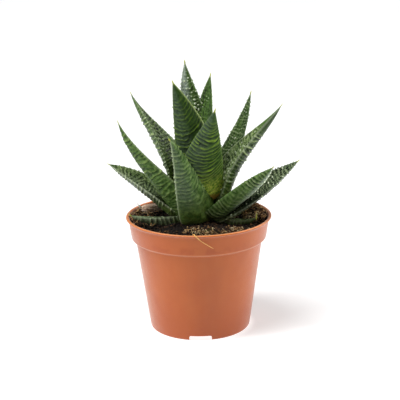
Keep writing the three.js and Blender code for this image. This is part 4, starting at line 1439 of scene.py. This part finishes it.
# %% Finish: red bark
red_bark, wire, shader, place = new_finish("red_bark", IOR=1.4, Specular_IOR_Level=0.25)
tone = wire.coats(
    wire.mix(wire.attribute("tone"), rgb(58, 28, 16), rgb(244, 186, 146)),
    (mottled(wire, place, 0.0012, 0.3), 0.4, rgb(86, 48, 32)))
dry_skin(wire, shader, place, tone, (0.0002, 0.0008, 0.5))
print("red bark:", len(red_bark.node_tree.nodes), "nodes")

# %% Make the chip
CHIP_PLACE = Vector((-28, 15.5, 66.6))
CHIP_HALF = Vector((7.2, 4, 3))
CHIP_TURN = math.radians(24)


def make_chip():
    """A ball squared off, layered, cracked and stretched to the chip's half sizes."""
    ball = bmesh.new()
    bmesh.ops.create_icosphere(ball, subdivisions=6, radius=1)
    for vertex in ball.verts:
        where = vertex.co.copy()
        blocky = Vector([math.copysign(abs(c) ** 0.8, c) for c in where])
        layered = noise.noise(Vector((where.x * 1.2, where.y * 1.5, where.z * 7 + 4)))
        cracked = abs(noise.noise(Vector((where.x * 4.5 + 9, where.y * 3, where.z * 1.5))))
        lumpy = noise.noise(where * 1.6)
        reach = 0.93 + 0.12 * lumpy + 0.09 * layered - 0.14 * math.exp(-((cracked / 0.05) ** 2))
        sized = Vector([b * h * reach for b, h in zip(blocky, CHIP_HALF)])
        turned_x = sized.x * math.cos(CHIP_TURN) - sized.y * math.sin(CHIP_TURN)
        turned_y = sized.x * math.sin(CHIP_TURN) + sized.y * math.cos(CHIP_TURN)
        vertex.co = (Vector((turned_x, turned_y, sized.z)) + CHIP_PLACE) * MM
    return made_solid("bark_lump", ball)


chip = make_chip()
chip.data.materials.append(bark)
chip.data.shade_smooth()
in_place_of(chip, "bark", "bark_chip")

# %% Finish: fresh wood
fresh_wood, wire, shader, place = new_finish("fresh_wood", IOR=1.45, Specular_IOR_Level=0.3)
tone = wire.mix(mottled(wire, place, 0.0006, 0.3), rgb(250, 244, 232), rgb(232, 220, 200))
dry_skin(wire, shader, place, tone, (0.0001, 0.0006, 0.5), (0.5, 0.8), depth=0)
print("fresh wood:", len(fresh_wood.node_tree.nodes), "nodes")

# %% The curl and the splinters
CURL_ROUTE = [(-32.4, 9.4, 68.2), (-34.4, 8.6, 69), (-35.9, 7.6, 67.6), (-35.6, 6.6, 65.6), (-33.6, 5.4, 64.4),
              (-31.4, 5, 63.9)]
SPLINTER_ROUTE = [(-33.7, 11.2, 68.3), (-34.8, 11.1, 69.3), (-35.8, 11, 70.3)]
WHISKER_ROUTE = [(-35.4, 10.7, 69.9), (-36.2, 10.6, 71.2), (-36.9, 10.4, 72.5)]
bark_curl = rods("bark_curl", [flowing(CURL_ROUTE)], [tapering(0.6, 0.4)], [0.8], 8, loose, 0.35)
in_place_of(bark_curl, "bark")
pale_lines = [flowing(SPLINTER_ROUTE), flowing(WHISKER_ROUTE)]
pale_radii = [tapering(1.0, 0.5), tapering(0.25, 0.4)]
splinters = rods("pale_splinters", pale_lines, pale_radii, [1.0, 1.0], 6, fresh_wood, 0.6)
in_place_of(splinters, "bark")

# %% Shreds of bark
SHRED_PATCHES = [((-38, -2), (4, 6)), ((-36, 10), (4.5, 9)), ((-30, -24), (3, 2)), ((34, 8), (4, 10))]
strewn("bark_shreds", "bark", SHRED_PATCHES, Density=1500000.0, Smallest=0.0003, Largest=0.001, Length=2.2,
       Palest=1.0, Seed=71, Material=red_bark)

# %% [markdown]
# ## The stem
# Only glimpses of the stem show between the leaves, and its roots are in the soil. Its CAD solid
# already has the right form, so it stays and only gets a finish: a dry, pale brown skin with
# the rings that old leaves leave behind.

# %% Finish: stem
stem_skin, wire, shader, place = new_finish("dry_stem", IOR=1.4, Specular_IOR_Level=0.25)
rings = wire.math("PINGPONG", wire.part_of(place, "Z"), 0.0011)
tone = wire.coats(
    wire.mix(mottled(wire, place, 0.003, 0.3), rgb(122, 112, 66), rgb(92, 78, 46)),
    (wire.span(rings, 0.0003, 0.0), 1, rgb(60, 46, 28)))
dry_skin(wire, shader, place, tone, (0.0003, 0.0012, 0.5), depth=0.0004)
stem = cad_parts["stem"]
stem.data.materials.clear()
stem.data.materials.append(stem_skin)
print("stem finished on its CAD solid")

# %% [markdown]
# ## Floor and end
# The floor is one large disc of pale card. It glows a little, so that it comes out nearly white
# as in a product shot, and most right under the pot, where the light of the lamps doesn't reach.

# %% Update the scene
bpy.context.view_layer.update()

# %% Stage
FLOOR_RADIUS = 4
disc = bmesh.new()
bmesh.ops.create_circle(disc, cap_ends=True, segments=96, radius=FLOOR_RADIUS)
floor = made_solid("floor", disc)
paper, wire, shader, place = new_finish("pale_floor", Roughness=0.9, Emission_Strength=0.6)
pale_tone = wire.mix(mottled(wire, place, 0.4, 0.0), (0.6, 0.6, 0.6, 1), (0.63, 0.63, 0.63, 1))
wire.feed(shader.inputs["Base Color"], pale_tone)
off_middle = wire.add("ShaderNodeVectorMath", {0: place}, operation="LENGTH").outputs["Value"]
under_pot = wire.span(off_middle, 0.034, 0.024)
wire.feed(shader.inputs["Emission Color"], wire.mix(under_pot, pale_tone, (1.6, 1.6, 1.6, 1)))
floor.data.materials.append(paper)
print("floor:", triangles(floor), "triangles")
